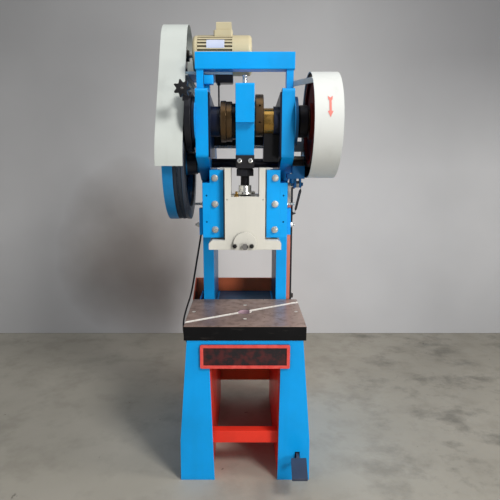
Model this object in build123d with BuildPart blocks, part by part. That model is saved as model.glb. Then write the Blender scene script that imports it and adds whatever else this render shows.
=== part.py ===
"""Geared open-front mechanical stamping press on a welded floor stand.

Millimetres, +Z up. The origin is the centre of the die hole at the bolster's
top face, on the press centre line. -Y is the operator's side and +X is the
right side as the operator sees it.
"""

import os
from math import acos, atan2, cos, degrees, pi, radians, sin, sqrt, tan

from build123d import *

os.makedirs("parts", exist_ok=True)

# Levels and stand
bolster_height = 600.0
floor_z = -bolster_height
bolster_length = 430.0
bolster_depth = 330.0
bolster_thickness = 52.0
die_hole_radius = 26.0
stand_top_z = -bolster_thickness
stand_knee_half = 236.0
stand_foot_half = 238.0
stand_knee_z = floor_z + 161.0
stand_front_y = -163.0
stand_rear_y = 493.0
stand_plate = 8.0
stand_side_sheet = 6.0
window_half = 126.0
window_top_z = -156.0
window_foot_x = (-113.0, 120.0)

# C-frame side plates
frame_inner_x = 127.0
frame_outer_x = 170.0
stand_clearance = 35.0
stand_top_half = frame_outer_x + stand_clearance
column_front_y = 165.0
column_rear_y = 479.0
head_front_y = -62.0
head_nose_z = 580.0
throat_top_z = 490.0
head_top_z = 812.0
head_rear_top_z = 777.0
head_rear_y = 285.0
column_shoulder_z = 560.0
boss_face_x = 182.0
running_fit = 0.04
moving_gap = 0.3

# Crank train
crank_z = 703.0
crank_throw = 20.0
main_radius = 30.0
main_bush_radius = 46.0
eccentric_radius = 48.0
rod_bush_radius = 55.0
rod_half_width = 32.0
rod_length = 283.0
gear_module = 4.0
bull_teeth = 78
pinion_teeth = 22
back_shaft_y = 136.0
back_shaft_radius = 17.5
back_bush_radius = 27.0
gear_left_x = 226.0
gear_width = 45.0
centre_distance = gear_module * (bull_teeth + pinion_teeth) / 2
back_shaft_z = crank_z - sqrt(centre_distance**2 - back_shaft_y**2)

# Ram and guides
ram_front_y = -75.0
ram_rear_y = 60.0
ram_flank_front_y = -30.0
ram_half = 71.0
ram_flank_half = 90.0
ram_bottom_z = 255.0
ram_top_z = 543.0
ram_foot_half = 129.0
ram_foot_height = 34.0
notch_half = 49.5
notch_floor_z = 443.0
shank_radius = 16.0
shank_depth = 60.0
guide_bottom_z = 294.0
guide_top_z = throat_top_z
keep_top_z = 535.0
keep_front_y = -45.0
keep_inner_x = 77.0
keep_outer_x = 125.0
guide_outer_x = 151.0
gib_thickness = 8.0
keep_bolt_x = 107.0
keep_bolt_levels = (323.0, 415.0, 507.0)
gib_screw_levels = (330.0, 408.0)
gib_screw_y = 37.0

# Flywheel, motor and belts
flywheel_radius = 215.0
flywheel_left_x = -288.0
flywheel_right_x = -210.0
groove_centres = (-244.0, -228.0)
motor_z = 949.0
motor_radius = 71.0
motor_pulley_radius = 44.0
belt_depth = 8.0
belt_sink = 2.0
beam_front_y = -24.0
beam_half = 172.0
beam_bottom_z = 876.0
beam_top_z = 933.0
beam_depth = 60.0
post_inner_x = 144.0
post_outer_x = 168.0
motor_plate_top_z = 878.0
motor_plate_thickness = 10.0

# Sheet guards
guard_sheet = 2.0
belt_guard_outer_x = -306.0
belt_guard_inner_x = -211.0
belt_guard_low_radius = 245.0
belt_guard_top_radius = 125.0
belt_guard_top_y = 209.0
belt_guard_cut_z = 550.0
gear_guard_inner_x = 222.0
gear_guard_outer_x = 316.0
gear_guard_radius = 181.5
gear_guard_z = 687.5
gear_guard_bulge = 54.0

# Brake
drum_left_x = -206.0
drum_right_x = -184.0
drum_radius = 92.0
lining_thickness = 4.0
band_thickness = 3.0
knob_y = -135.0
knob_x = -203.0
knob_z = 798.0
knob_radius = 29.0

# Pedal and trip linkage
linkage_x = 192.0
linkage_thickness = 10.0
pull_rod_y = 224.0
pull_rod_radius = 5.0
pedal_pivot_y = 440.0
pedal_pivot_z = floor_z + 95.0
pedal_pad_top_z = floor_z + 110.0
trip_pivot_y = 15.0
trip_pivot_z = 482.0
fork_pin_radius = 4.0


def save(piece, name):
    """Label a finished piece and write it under its node name."""
    piece.part.label = name
    export_step(piece.part, "parts/" + name + ".step")


def block(x_range, y_range, z_range, mode=Mode.ADD):
    """A square bar or plate between its low and high coordinates."""
    with BuildSketch(Plane.XY.offset(z_range[0])) as outline:
        with Locations(((x_range[0] + x_range[1]) / 2, (y_range[0] + y_range[1]) / 2)):
            Rectangle(x_range[1] - x_range[0], y_range[1] - y_range[0])
    extrude(outline.sketch, amount=z_range[1] - z_range[0], mode=mode)


def disc(x_range, radius, y, z, mode=Mode.ADD):
    """A round length whose axis lies along X."""
    with BuildSketch(Plane.YZ.offset(x_range[0])) as outline:
        with Locations((y, z)):
            Circle(radius)
    extrude(outline.sketch, amount=x_range[1] - x_range[0], mode=mode)


def rod_y(y_range, radius, x, z, mode=Mode.ADD):
    """A round length whose axis lies along Y."""
    with BuildSketch(Plane.XZ.offset(-y_range[1])) as outline:
        with Locations((x, z)):
            Circle(radius)
    extrude(outline.sketch, amount=y_range[1] - y_range[0], mode=mode)


def pillar(z_range, radius, x, y, mode=Mode.ADD):
    """A round length whose axis lies along Z."""
    with BuildSketch(Plane.XY.offset(z_range[0])) as outline:
        with Locations((x, y)):
            Circle(radius)
    extrude(outline.sketch, amount=z_range[1] - z_range[0], mode=mode)


def hexagon_x(x_range, radius, y, z, mode=Mode.ADD):
    """A hexagon nut or head whose axis lies along X."""
    with BuildSketch(Plane.YZ.offset(x_range[0])) as outline:
        with Locations((y, z)):
            RegularPolygon(radius, 6)
    extrude(outline.sketch, amount=x_range[1] - x_range[0], mode=mode)


def side_profile(points, x_range, mode=Mode.ADD, corner=0.0):
    """A flat plate cut to a Y-Z outline, between two X faces."""
    with BuildSketch(Plane.YZ.offset(x_range[0])) as outline:
        with BuildLine():
            Polyline(*points, close=True)
        make_face()
        if corner > 0:
            fillet(outline.vertices(), corner)
    extrude(outline.sketch, amount=x_range[1] - x_range[0], mode=mode)


def front_profile(points, y_range, mode=Mode.ADD, corner=0.0):
    """A flat plate cut to an X-Z outline, between two Y faces."""
    with BuildSketch(Plane.XZ.offset(-y_range[1])) as outline:
        with BuildLine():
            Polyline(*points, close=True)
        make_face()
        if corner > 0:
            fillet(outline.vertices(), corner)
    extrude(outline.sketch, amount=y_range[1] - y_range[0], mode=mode)


def span(side, low, high):
    """An X range on the right (side 1) or its mirror image on the left (side -1)."""
    return (low, high) if side > 0 else (-high, -low)


# Bolster plate with its die hole and diagonal tee slot
slot_angle = atan2(245.0, 430.0)
slot_width = 14.0
slot_tee_width = 24.0
slot_neck_depth = 14.0
slot_depth = 26.0
tap_x = 195.0
tap_y = 83.0
tap_radius = 5.0
tap_depth = 16.0

with BuildPart() as bolster:
    block(
        (-bolster_length / 2, bolster_length / 2),
        (-bolster_depth / 2, bolster_depth / 2),
        (stand_top_z, 0),
    )
    top_edges = bolster.faces().sort_by(Axis.Z)[-1].edges()
    chamfer(top_edges, 1.5)
    slot_plane = Plane((0, 0, 0), x_dir=(-sin(slot_angle), cos(slot_angle), 0),
                       z_dir=(cos(slot_angle), sin(slot_angle), 0))
    with BuildSketch(slot_plane) as slot_section:
        with BuildLine():
            Polyline(
                (-slot_width / 2, 1),
                (-slot_width / 2, -slot_neck_depth),
                (-slot_tee_width / 2, -slot_neck_depth),
                (-slot_tee_width / 2, -slot_depth),
                (slot_tee_width / 2, -slot_depth),
                (slot_tee_width / 2, -slot_neck_depth),
                (slot_width / 2, -slot_neck_depth),
                (slot_width / 2, 1),
                close=True,
            )
        make_face()
    extrude(amount=bolster_length, both=True, mode=Mode.SUBTRACT)
    pillar((stand_top_z, 0), die_hole_radius, 0, 0, mode=Mode.SUBTRACT)
    with Locations((tap_x, 0, 0), (-tap_x, 0, 0), (0, tap_y, 0), (0, -tap_y, 0)):
        Hole(tap_radius, depth=tap_depth)
save(bolster, "bolster")

# C-frame side plates with bearing bosses
boss_radius = 85.0
inner_boss_radius = 52.0
inner_boss_x = {-1: 88.0, 1: 100.0}
head_pad_x = 120.0
head_pad_z = 560.0
back_boss_radius = 38.0
support_left_x = 66.0
support_y = (-20.0, 60.0)
support_z = (563.0, 672.0)
jaw_front_y = stand_front_y + stand_plate
tie_rod_y = 133.0
tie_rod_z = 618.0
tie_rod_radius = 7.0


def cheek_top(y):
    """Height of the head's top edge at a depth y."""
    fall = (head_top_z - head_rear_top_z) / (head_rear_y - head_front_y)
    return head_top_z - (y - head_front_y) * fall


def side_plate(side):
    """One heavy C-shaped plate: lower jaw, column and bearing head."""
    with BuildPart() as plate:
        side_profile(
            [
                (jaw_front_y, window_top_z),
                (jaw_front_y, stand_top_z),
                (column_front_y, stand_top_z),
                (column_front_y, throat_top_z),
                (141.0, throat_top_z),
                (head_front_y, head_nose_z),
                (head_front_y, head_top_z),
                (head_rear_y, head_rear_top_z),
                (column_rear_y, column_shoulder_z),
                (column_rear_y, window_top_z),
            ],
            span(side, frame_inner_x, frame_outer_x),
        )
        outer_corners = plate.edges().filter_by(Axis.X).sort_by(Axis.Z)[-4:]
        fillet(outer_corners, 14)
        side_profile(
            [
                (head_front_y, head_pad_z + 20),
                (head_front_y, head_top_z - 16),
                (200.0, cheek_top(200.0) - 10),
                (200.0, head_pad_z + 20),
            ],
            span(side, head_pad_x, frame_inner_x),
        )
        disc(span(side, frame_outer_x, boss_face_x), boss_radius, 0, crank_z)
        disc(span(side, inner_boss_x[side], head_pad_x), inner_boss_radius, 0, crank_z)
        if side > 0:
            block((support_left_x, head_pad_x), support_y, support_z)
        disc(span(side, frame_outer_x, boss_face_x), back_boss_radius, back_shaft_y, back_shaft_z)
        disc(span(side, 0, 200), main_bush_radius, 0, crank_z, mode=Mode.SUBTRACT)
        disc(span(side, 0, 200), back_bush_radius, back_shaft_y, back_shaft_z, mode=Mode.SUBTRACT)
        disc(span(side, 0, 200), tie_rod_radius + moving_gap, tie_rod_y, tie_rod_z, mode=Mode.SUBTRACT)
    return plate


for side, word in ((-1, "left"), (1, "right")):
    save(side_plate(side), "side_plate_" + word)

web_y = (column_front_y, column_front_y + 25.0)
web_z = (290.0, 435.0)
head_web_y = (148.0, 168.0)
head_web_z = (622.0, 682.0)
bed_thickness = 48.0
knockout_radius = 45.0
with BuildPart() as frame_webs:
    block((-frame_inner_x, frame_inner_x), web_y, web_z)
    block(
        (-frame_inner_x, frame_inner_x),
        (jaw_front_y, column_rear_y),
        (stand_top_z - bed_thickness, stand_top_z),
    )
    pillar((stand_top_z - bed_thickness, stand_top_z), knockout_radius, 0, 0, mode=Mode.SUBTRACT)
    block((-head_pad_x, head_pad_x), head_web_y, head_web_z)
save(frame_webs, "frame_webs")

tie_nut_thickness = 11.0
with BuildPart() as tie_rod:
    for side in (-1, 1):
        nut_span = span(side, frame_outer_x, frame_outer_x + tie_nut_thickness)
        hexagon_x(nut_span, 12, tie_rod_y, tie_rod_z)
    rod_reach = frame_outer_x + tie_nut_thickness + 4
    disc((-rod_reach, rod_reach), tie_rod_radius, tie_rod_y, tie_rod_z)
save(tie_rod, "tie_rod")

right_bush_nose_x = 66.0
main_bush_spans = ((-boss_face_x, -inner_boss_x[-1]), (right_bush_nose_x, boss_face_x))
with BuildPart() as main_bushes:
    for bush_span in main_bush_spans:
        disc(bush_span, main_bush_radius, 0, crank_z)
        disc(bush_span, main_radius + running_fit, 0, crank_z, mode=Mode.SUBTRACT)
save(main_bushes, "main_bushes")

with BuildPart() as back_shaft_bushes:
    for side in (-1, 1):
        bush_span = span(side, frame_inner_x, boss_face_x)
        disc(bush_span, back_bush_radius, back_shaft_y, back_shaft_z)
        disc(bush_span, back_shaft_radius + running_fit, back_shaft_y, back_shaft_z, mode=Mode.SUBTRACT)
save(back_shaft_bushes, "back_shaft_bushes")

# Floor stand
outline_top_z = stand_top_z
wing_front_y = 340.0
wall_top_z = 10.0
rear_wall_bottom_z = floor_z + 85.0
rear_wall_right_x = 200.0
arm_x = (linkage_x - linkage_thickness / 2, linkage_x + linkage_thickness / 2)
side_gap = 0.5
pedal_pin_radius = 10.0
pedal_slot_x = (arm_x[0] - 4, arm_x[1] + 4)
pedal_slot_z = (floor_z + 18.0, floor_z + 115.0)


def stand_outline(sign=1, inset=0.0):
    """One flared side of the stand, from its top down to the floor."""
    return [
        (sign * (stand_top_half - inset), outline_top_z),
        (sign * (stand_knee_half - inset), stand_knee_z),
        (sign * (stand_foot_half - inset), floor_z),
    ]


with BuildPart() as stand_front:
    front_profile(
        stand_outline(1) + stand_outline(-1)[::-1],
        (stand_front_y, stand_front_y + stand_plate),
    )
    front_profile(
        [
            (window_foot_x[1], floor_z),
            (window_half, window_top_z),
            (-window_half, window_top_z),
            (window_foot_x[0], floor_z),
        ],
        (stand_front_y, stand_front_y + stand_plate),
        mode=Mode.SUBTRACT,
    )
    block(pedal_slot_x, (stand_front_y, stand_front_y + stand_plate), pedal_slot_z, mode=Mode.SUBTRACT)
save(stand_front, "stand_front")


side_sheet_y = (stand_front_y + stand_plate, stand_rear_y - stand_plate)
with BuildPart() as stand_sides:
    for side in (-1, 1):
        front_profile(stand_outline(side) + stand_outline(side, stand_side_sheet)[::-1], side_sheet_y)
    side_profile(
        [
            (wing_front_y, stand_knee_z),
            (wing_front_y, stand_top_z),
            (stand_rear_y - stand_plate, wall_top_z),
            (stand_rear_y - stand_plate, stand_knee_z),
        ],
        (-stand_knee_half, -stand_knee_half + stand_side_sheet),
    )
save(stand_sides, "stand_sides")

with BuildPart() as stand_rear:
    front_profile(
        [
            (-stand_knee_half, wall_top_z),
            (-stand_knee_half, stand_knee_z),
            (-stand_knee_half - 1, rear_wall_bottom_z),
            (stand_knee_half + 1, rear_wall_bottom_z),
            (stand_knee_half, stand_knee_z),
            (stand_top_half, stand_top_z),
            (rear_wall_right_x, stand_top_z),
            (rear_wall_right_x, wall_top_z),
        ],
        (stand_rear_y - stand_plate, stand_rear_y),
    )
save(stand_rear, "stand_rear")

lug_reach = 50.0
lug_width = 60.0
lug_thickness = 10.0
lug_hole_x = 151.0
lug_hole_radius = 9.0
lug_places_y = (-120.0, 440.0)


inner_face_x = frame_inner_x - stand_side_sheet
with BuildPart() as stand_inner_sheets:
    for side in (-1, 1):
        block(
            span(side, inner_face_x, frame_inner_x),
            (stand_front_y + stand_plate, stand_rear_y - stand_plate),
            (floor_z, stand_top_z - bed_thickness),
        )
        for lug_y in lug_places_y:
            block(
                span(side, frame_inner_x, frame_inner_x + lug_reach),
                (lug_y - lug_width / 2, lug_y + lug_width / 2),
                (floor_z, floor_z + lug_thickness),
            )
            pillar(
                (floor_z, floor_z + lug_thickness), lug_hole_radius, side * lug_hole_x, lug_y,
                mode=Mode.SUBTRACT,
            )
    disc((frame_inner_x, arm_x[0] - side_gap), pedal_pin_radius + 4, pedal_pivot_y, pedal_pivot_z)
    disc((frame_inner_x, arm_x[1] + 17), pedal_pin_radius, pedal_pivot_y, pedal_pivot_z)
    disc((arm_x[1] + side_gap, arm_x[1] + 9), pedal_pin_radius + 5, pedal_pivot_y, pedal_pivot_z)
save(stand_inner_sheets, "stand_inner_sheets")

bar_front_y = -122.0
bar_depth = 32.0
bar_wall = 5.0
bar_z = (floor_z + 127.0, floor_z + 175.0)
with BuildPart() as stand_crossbar:
    side_profile(
        [
            (bar_front_y, bar_z[0]),
            (bar_front_y + bar_depth, bar_z[0]),
            (bar_front_y + bar_depth, bar_z[0] + bar_wall),
            (bar_front_y + bar_wall, bar_z[0] + bar_wall),
            (bar_front_y + bar_wall, bar_z[1] - bar_wall),
            (bar_front_y + bar_depth, bar_z[1] - bar_wall),
            (bar_front_y + bar_depth, bar_z[1]),
            (bar_front_y, bar_z[1]),
        ],
        (-inner_face_x, inner_face_x),
    )
save(stand_crossbar, "stand_crossbar")

plate_half = 158.0
plate_z = (-154.5, -67.0)
plate_thickness = 8.0
plate_border = 11.0
plate_recess = 4.0
with BuildPart() as nameplate:
    block((-plate_half, plate_half), (stand_front_y - plate_thickness, stand_front_y), plate_z)
    fillet(nameplate.edges().filter_by(Axis.Y), 5)
    block(
        (-plate_half + plate_border, plate_half - plate_border),
        (stand_front_y - plate_thickness, stand_front_y - plate_thickness + plate_recess),
        (plate_z[0] + plate_border, plate_z[1] - plate_border),
        mode=Mode.SUBTRACT,
    )
save(nameplate, "nameplate")

# Portal that carries the motor
beam_wall = 5.0
beam_rear_y = beam_front_y + beam_depth
post_front_y = beam_front_y + 6
post_rear_y = post_front_y + 48
with BuildPart() as top_frame:
    side_profile(
        [
            (beam_front_y, beam_bottom_z),
            (beam_rear_y, beam_bottom_z),
            (beam_rear_y, beam_top_z),
            (beam_front_y, beam_top_z),
        ],
        (-beam_half, beam_half),
        corner=3,
    )
    block(
        (-beam_half + beam_wall, beam_half - beam_wall),
        (beam_front_y + beam_wall, beam_rear_y - beam_wall),
        (beam_bottom_z + beam_wall, beam_top_z - beam_wall),
        mode=Mode.SUBTRACT,
    )
    for side in (-1, 1):
        side_profile(
            [
                (post_front_y, cheek_top(post_front_y)),
                (post_front_y, beam_bottom_z),
                (post_rear_y, beam_bottom_z),
                (post_rear_y, cheek_top(post_rear_y)),
            ],
            span(side, post_inner_x, post_outer_x),
        )
save(top_frame, "top_frame")

motor_plate_x = (-214.0, -45.0)
motor_plate_rear_y = 232.0
motor_plate_z = (motor_plate_top_z - motor_plate_thickness, motor_plate_top_z)
foot_bolt_x = (-150.0, -72.0)
foot_bolt_y = (back_shaft_y - 56.0, back_shaft_y + 56.0)
foot_bolt_radius = 4.0
prop_x = (-148.0, -128.0)
prop_y = (52.0, 92.0)
with BuildPart() as motor_plate:
    block(motor_plate_x, (beam_rear_y, motor_plate_rear_y), motor_plate_z)
    side_profile(
        [
            (prop_y[0], cheek_top(prop_y[0])),
            (prop_y[0], motor_plate_z[0]),
            (prop_y[1], motor_plate_z[0]),
            (prop_y[1], cheek_top(prop_y[1])),
        ],
        prop_x,
    )
    with BuildSketch(Plane.XY.offset(motor_plate_z[0])) as slots:
        for slot_x in foot_bolt_x:
            for slot_y in foot_bolt_y:
                with Locations((slot_x, slot_y)):
                    SlotOverall(24, 2 * foot_bolt_radius + 1, rotation=90)
    extrude(amount=motor_plate_thickness, mode=Mode.SUBTRACT)
save(motor_plate, "motor_plate")

# Crankshaft, brake drum, collars and clutch
eccentric_z = crank_z + crank_throw
ring_x = (-45.0, -33.0)
eccentric_end_x = 36.0
crank_left_x = -208.0
crank_right_x = gear_left_x + gear_width + 8
gear_journal_radius = 27.0
gear_shoulder_x = 186.0
with BuildPart() as crankshaft:
    disc((crank_left_x, ring_x[1]), main_radius, 0, crank_z)
    disc((eccentric_end_x, gear_shoulder_x), main_radius, 0, crank_z)
    disc((gear_shoulder_x, crank_right_x), gear_journal_radius, 0, crank_z)
    disc(ring_x, 62, 0, crank_z)
    disc((ring_x[1], eccentric_end_x), eccentric_radius, 0, eccentric_z)
    chamfer(crankshaft.faces().sort_by(Axis.X)[0].edges(), 3)
save(crankshaft, "crankshaft")

collar_a_x = (-85.0, -65.0)
collar_b_x = (-65.0, ring_x[0])
collar_gap = 0.3
with BuildPart() as stroke_collars:
    disc((collar_a_x[0], collar_a_x[1] - collar_gap), 71.0, 0, crank_z)
    disc(collar_b_x, 68.5, 0, crank_z)
    chamfer(stroke_collars.edges().filter_by(GeomType.CIRCLE), 1.5)
    disc((collar_a_x[0], collar_b_x[1]), main_radius + running_fit, 0, crank_z, mode=Mode.SUBTRACT)
save(stroke_collars, "stroke_collars")

flange_x = (eccentric_end_x, 64.0)
flange_radius = 72.5
with BuildPart() as eccentric_flange:
    disc(flange_x, flange_radius, 0, eccentric_z)
    chamfer(eccentric_flange.edges().filter_by(GeomType.CIRCLE), 1.5)
    disc(flange_x, main_radius + running_fit, 0, crank_z, mode=Mode.SUBTRACT)
    flange_middle = (flange_x[0] + flange_x[1]) / 2
    for turn in range(0, 360, 45):
        lean = radians(turn + 22)
        mouth = (flange_middle, -flange_radius * sin(lean), eccentric_z + flange_radius * cos(lean))
        hole_plane = Plane(mouth, z_dir=(0, -sin(lean), cos(lean)))
        with BuildSketch(hole_plane):
            Circle(3.5)
        extrude(amount=-10, mode=Mode.SUBTRACT)
save(eccentric_flange, "eccentric_flange")

with BuildPart() as brake_drum:
    disc((drum_left_x, drum_right_x), drum_radius, 0, crank_z)
    disc((drum_left_x, drum_left_x + 8), drum_radius - 12, 0, crank_z, mode=Mode.SUBTRACT)
    disc((drum_left_x, drum_left_x + 8), 44, 0, crank_z)
    disc((drum_left_x, drum_right_x), main_radius + running_fit, 0, crank_z, mode=Mode.SUBTRACT)
save(brake_drum, "brake_drum")

clutch_x = (188.0, 220.0)
clutch_radius = 56.0
with BuildPart() as clutch_body:
    disc(clutch_x, clutch_radius, 0, crank_z)
    chamfer(clutch_body.edges().filter_by(GeomType.CIRCLE), 3)
    disc((clutch_x[1] - 6, clutch_x[1]), clutch_radius - 8, 0, crank_z, mode=Mode.SUBTRACT)
    disc((clutch_x[1] - 6, clutch_x[1]), 38, 0, crank_z)
    disc(clutch_x, gear_journal_radius + running_fit, 0, crank_z, mode=Mode.SUBTRACT)
save(clutch_body, "clutch_body")

gear_span = (gear_left_x, gear_left_x + gear_width)
end_washer_x = (gear_span[1] + 3, gear_span[1] + 8)
end_nut_x = (end_washer_x[1], end_washer_x[1] + 14)
with BuildPart() as crank_end_nut:
    disc(end_washer_x, 44, 0, crank_z)
    hexagon_x(end_nut_x, 34, 0, crank_z)
    disc(end_washer_x, gear_journal_radius + running_fit, 0, crank_z, mode=Mode.SUBTRACT)
    chamfer(crank_end_nut.faces().sort_by(Axis.X)[-1].edges(), 2)
save(crank_end_nut, "crank_end_nut")


# Involute gears
pressure_angle = radians(20)
backlash_half_angle = 0.18


def gear_outline(teeth, start_angle, steps):
    """Involute tooth outline round the origin, the first tooth centred on start_angle."""
    pitch_radius = gear_module * teeth / 2
    base_radius = pitch_radius * cos(pressure_angle)
    tip_radius = pitch_radius + gear_module
    root_radius = pitch_radius - 1.25 * gear_module
    involute_at_pitch = tan(pressure_angle) - pressure_angle
    half_tooth = pi / (2 * teeth) - backlash_half_angle / pitch_radius
    flank = []
    first_radius = max(base_radius, root_radius)
    for step in range(steps + 1):
        radius = first_radius + (tip_radius - first_radius) * step / steps
        roll = acos(min(1.0, base_radius / radius))
        involute = tan(roll) - roll
        flank.append((radius, half_tooth + involute_at_pitch - involute))
    points = []
    for tooth in range(teeth):
        middle = start_angle + 2 * pi * tooth / teeth
        points.append((root_radius, middle - flank[0][1] * 1.02))
        points += [(radius, middle - half) for radius, half in flank]
        points += [(radius, middle + half) for radius, half in reversed(flank)]
        points.append((root_radius, middle + flank[0][1] * 1.02))
    return [(radius * cos(angle), radius * sin(angle)) for radius, angle in points]


# The line of centres, seen along X in the Y-Z plane, points from the crank to the back shaft.
mesh_angle = atan2(back_shaft_z - crank_z, back_shaft_y)
bull_bush_radius = 35.0
bull_hub_radius = 62.0
bull_rim_radius = 138.0
bull_web_inset = 9.0
with BuildPart() as bull_gear:
    bull_plane = Plane((gear_span[0], 0, crank_z), x_dir=(0, 1, 0), z_dir=(1, 0, 0))
    with BuildSketch(bull_plane):
        with BuildLine():
            Polyline(*gear_outline(bull_teeth, mesh_angle, 2), close=True)
        make_face()
    extrude(amount=gear_width)
    for face_x in (gear_span[0], gear_span[1] - bull_web_inset):
        with BuildSketch(Plane.YZ.offset(face_x)):
            with Locations((0, crank_z)):
                Circle(bull_rim_radius)
                Circle(bull_hub_radius, mode=Mode.SUBTRACT)
        extrude(amount=bull_web_inset, mode=Mode.SUBTRACT)
    disc(gear_span, bull_bush_radius, 0, crank_z, mode=Mode.SUBTRACT)
save(bull_gear, "bull_gear")

bull_bush_x = (clutch_x[1] + 2, gear_span[1] + 2)
with BuildPart() as bull_gear_bush:
    disc(bull_bush_x, bull_bush_radius, 0, crank_z)
    disc(bull_bush_x, gear_journal_radius + running_fit, 0, crank_z, mode=Mode.SUBTRACT)
save(bull_gear_bush, "bull_gear_bush")

pinion_hub_radius = 27.0
pinion_space = pi / pinion_teeth
with BuildPart() as pinion:
    pinion_plane = Plane(
        (gear_span[0] - 2, back_shaft_y, back_shaft_z), x_dir=(0, 1, 0), z_dir=(1, 0, 0)
    )
    with BuildSketch(pinion_plane):
        with BuildLine():
            Polyline(*gear_outline(pinion_teeth, mesh_angle + pi + pinion_space, 3), close=True)
        make_face()
    extrude(amount=gear_width + 4)
    disc((boss_face_x + 2, gear_span[0] - 2), pinion_hub_radius, back_shaft_y, back_shaft_z)
    disc((boss_face_x + 2, gear_span[1] + 2), back_shaft_radius, back_shaft_y, back_shaft_z, mode=Mode.SUBTRACT)
save(pinion, "pinion")

# Back shaft and flywheel
hub_radius = 42.0
hub_x = (-292.0, -boss_face_x - 2)
rim_inner_radius = 168.0
web_x = (-262.0, -240.0)
groove_top = 13.0
groove_bottom = 8.0
groove_depth = 14.0
with BuildPart() as back_shaft:
    disc((-298.0, gear_span[1] + 7), back_shaft_radius, back_shaft_y, back_shaft_z)
    chamfer(back_shaft.edges().filter_by(GeomType.CIRCLE), 1.5)
save(back_shaft, "back_shaft")


def groove(centre_x, rim_radius):
    """One vee groove in a sheave rim, as an X-radius outline."""
    return [
        (centre_x - groove_top / 2, rim_radius),
        (centre_x - groove_bottom / 2, rim_radius - groove_depth),
        (centre_x + groove_bottom / 2, rim_radius - groove_depth),
        (centre_x + groove_top / 2, rim_radius),
    ]


def turned(points, y, z):
    """A turned solid from an X-radius outline, about an axis along X."""
    with BuildSketch(Plane((0, y, z), x_dir=(1, 0, 0), z_dir=(0, -1, 0))) as outline:
        with BuildLine():
            Polyline(*points, close=True)
        make_face()
    revolve(outline.sketch, axis=Axis((0, y, z), (1, 0, 0)))


with BuildPart() as flywheel:
    turned(
        [(hub_x[0], back_shaft_radius), (hub_x[0], hub_radius), (web_x[0], hub_radius + 4),
         (web_x[0], rim_inner_radius - 4), (flywheel_left_x, rim_inner_radius),
         (flywheel_left_x, flywheel_radius)]
        + groove(groove_centres[0], flywheel_radius)
        + groove(groove_centres[1], flywheel_radius)
        + [(flywheel_right_x, flywheel_radius), (flywheel_right_x, rim_inner_radius),
           (web_x[1], rim_inner_radius - 4), (web_x[1], hub_radius + 4), (hub_x[1], hub_radius),
           (hub_x[1], back_shaft_radius)],
        back_shaft_y,
        back_shaft_z,
    )
save(flywheel, "flywheel")

# Motor
shield_x = (-190.0, -172.0)
stator_x = (-172.0, -46.0)
cowl_x = (-46.0, 25.0)
rotor_x = (-160.0, -64.0)
fin_count = 32
fin_height = 9.0
fin_thickness = 7.0
stator_radius = motor_radius - fin_height
stator_bore_radius = 30.0
motor_shaft_radius = 7.0
foot_half_y = 68.0
foot_half_x = 14.0
foot_thickness = 9.0
with BuildPart() as motor_body:
    disc(stator_x, stator_radius, back_shaft_y, motor_z)
    with BuildSketch(Plane.YZ.offset(stator_x[0])):
        with Locations((back_shaft_y, motor_z)):
            with PolarLocations(stator_radius + fin_height / 2 - 1, fin_count):
                Rectangle(fin_height + 2, fin_thickness)
    extrude(amount=stator_x[1] - stator_x[0])
    for foot_x in foot_bolt_x:
        side_profile(
            [
                (back_shaft_y - foot_half_y, motor_plate_top_z),
                (back_shaft_y - foot_half_y, motor_plate_top_z + foot_thickness),
                (back_shaft_y - 34, motor_z - 48),
                (back_shaft_y + 34, motor_z - 48),
                (back_shaft_y + foot_half_y, motor_plate_top_z + foot_thickness),
                (back_shaft_y + foot_half_y, motor_plate_top_z),
            ],
            (foot_x - foot_half_x, foot_x + foot_half_x),
        )
        for foot_y in foot_bolt_y:
            pillar(
                (motor_plate_top_z, motor_plate_top_z + 16), foot_bolt_radius + moving_gap,
                foot_x, foot_y, mode=Mode.SUBTRACT,
            )
    disc((stator_x[0], rotor_x[1] + 4), stator_bore_radius, back_shaft_y, motor_z, mode=Mode.SUBTRACT)
    disc(stator_x, motor_shaft_radius + running_fit, back_shaft_y, motor_z, mode=Mode.SUBTRACT)
save(motor_body, "motor_body")

with BuildPart() as motor_end_shield:
    disc(shield_x, motor_radius - 1, back_shaft_y, motor_z)
    fillet(motor_end_shield.faces().sort_by(Axis.X)[0].edges(), 11)
    disc((shield_x[0] - 4, shield_x[0]), 22, back_shaft_y, motor_z)
    disc((shield_x[0] - 4, shield_x[1]), motor_shaft_radius + running_fit, back_shaft_y, motor_z,
         mode=Mode.SUBTRACT)
save(motor_end_shield, "motor_end_shield")

cowl_sheet = 2.0
with BuildPart() as motor_fan_cowl:
    disc(cowl_x, motor_radius, back_shaft_y, motor_z)
    fillet(motor_fan_cowl.faces().sort_by(Axis.X)[-1].edges(), 13)
    offset(amount=-cowl_sheet, openings=motor_fan_cowl.faces().sort_by(Axis.X)[0])
    with BuildSketch(Plane.YZ.offset(cowl_x[1])):
        with Locations((back_shaft_y, motor_z)):
            with PolarLocations(34, 12):
                SlotOverall(30, 5)
    extrude(amount=-2 * cowl_sheet, mode=Mode.SUBTRACT)
save(motor_fan_cowl, "motor_fan_cowl")

fan_x = (-36.0, -18.0)
fan_radius = 56.0
with BuildPart() as motor_rotor:
    disc(rotor_x, stator_bore_radius - moving_gap, back_shaft_y, motor_z)
    disc((shield_x[0] - 60, fan_x[1]), motor_shaft_radius, back_shaft_y, motor_z)
    disc(fan_x, 16, back_shaft_y, motor_z)
    with BuildSketch(Plane.YZ.offset(fan_x[0])):
        with Locations((back_shaft_y, motor_z)):
            with PolarLocations(fan_radius / 2 + 6, 7):
                Rectangle(fan_radius - 12, 4)
    extrude(amount=fan_x[1] - fan_x[0])
save(motor_rotor, "motor_rotor")

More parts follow.
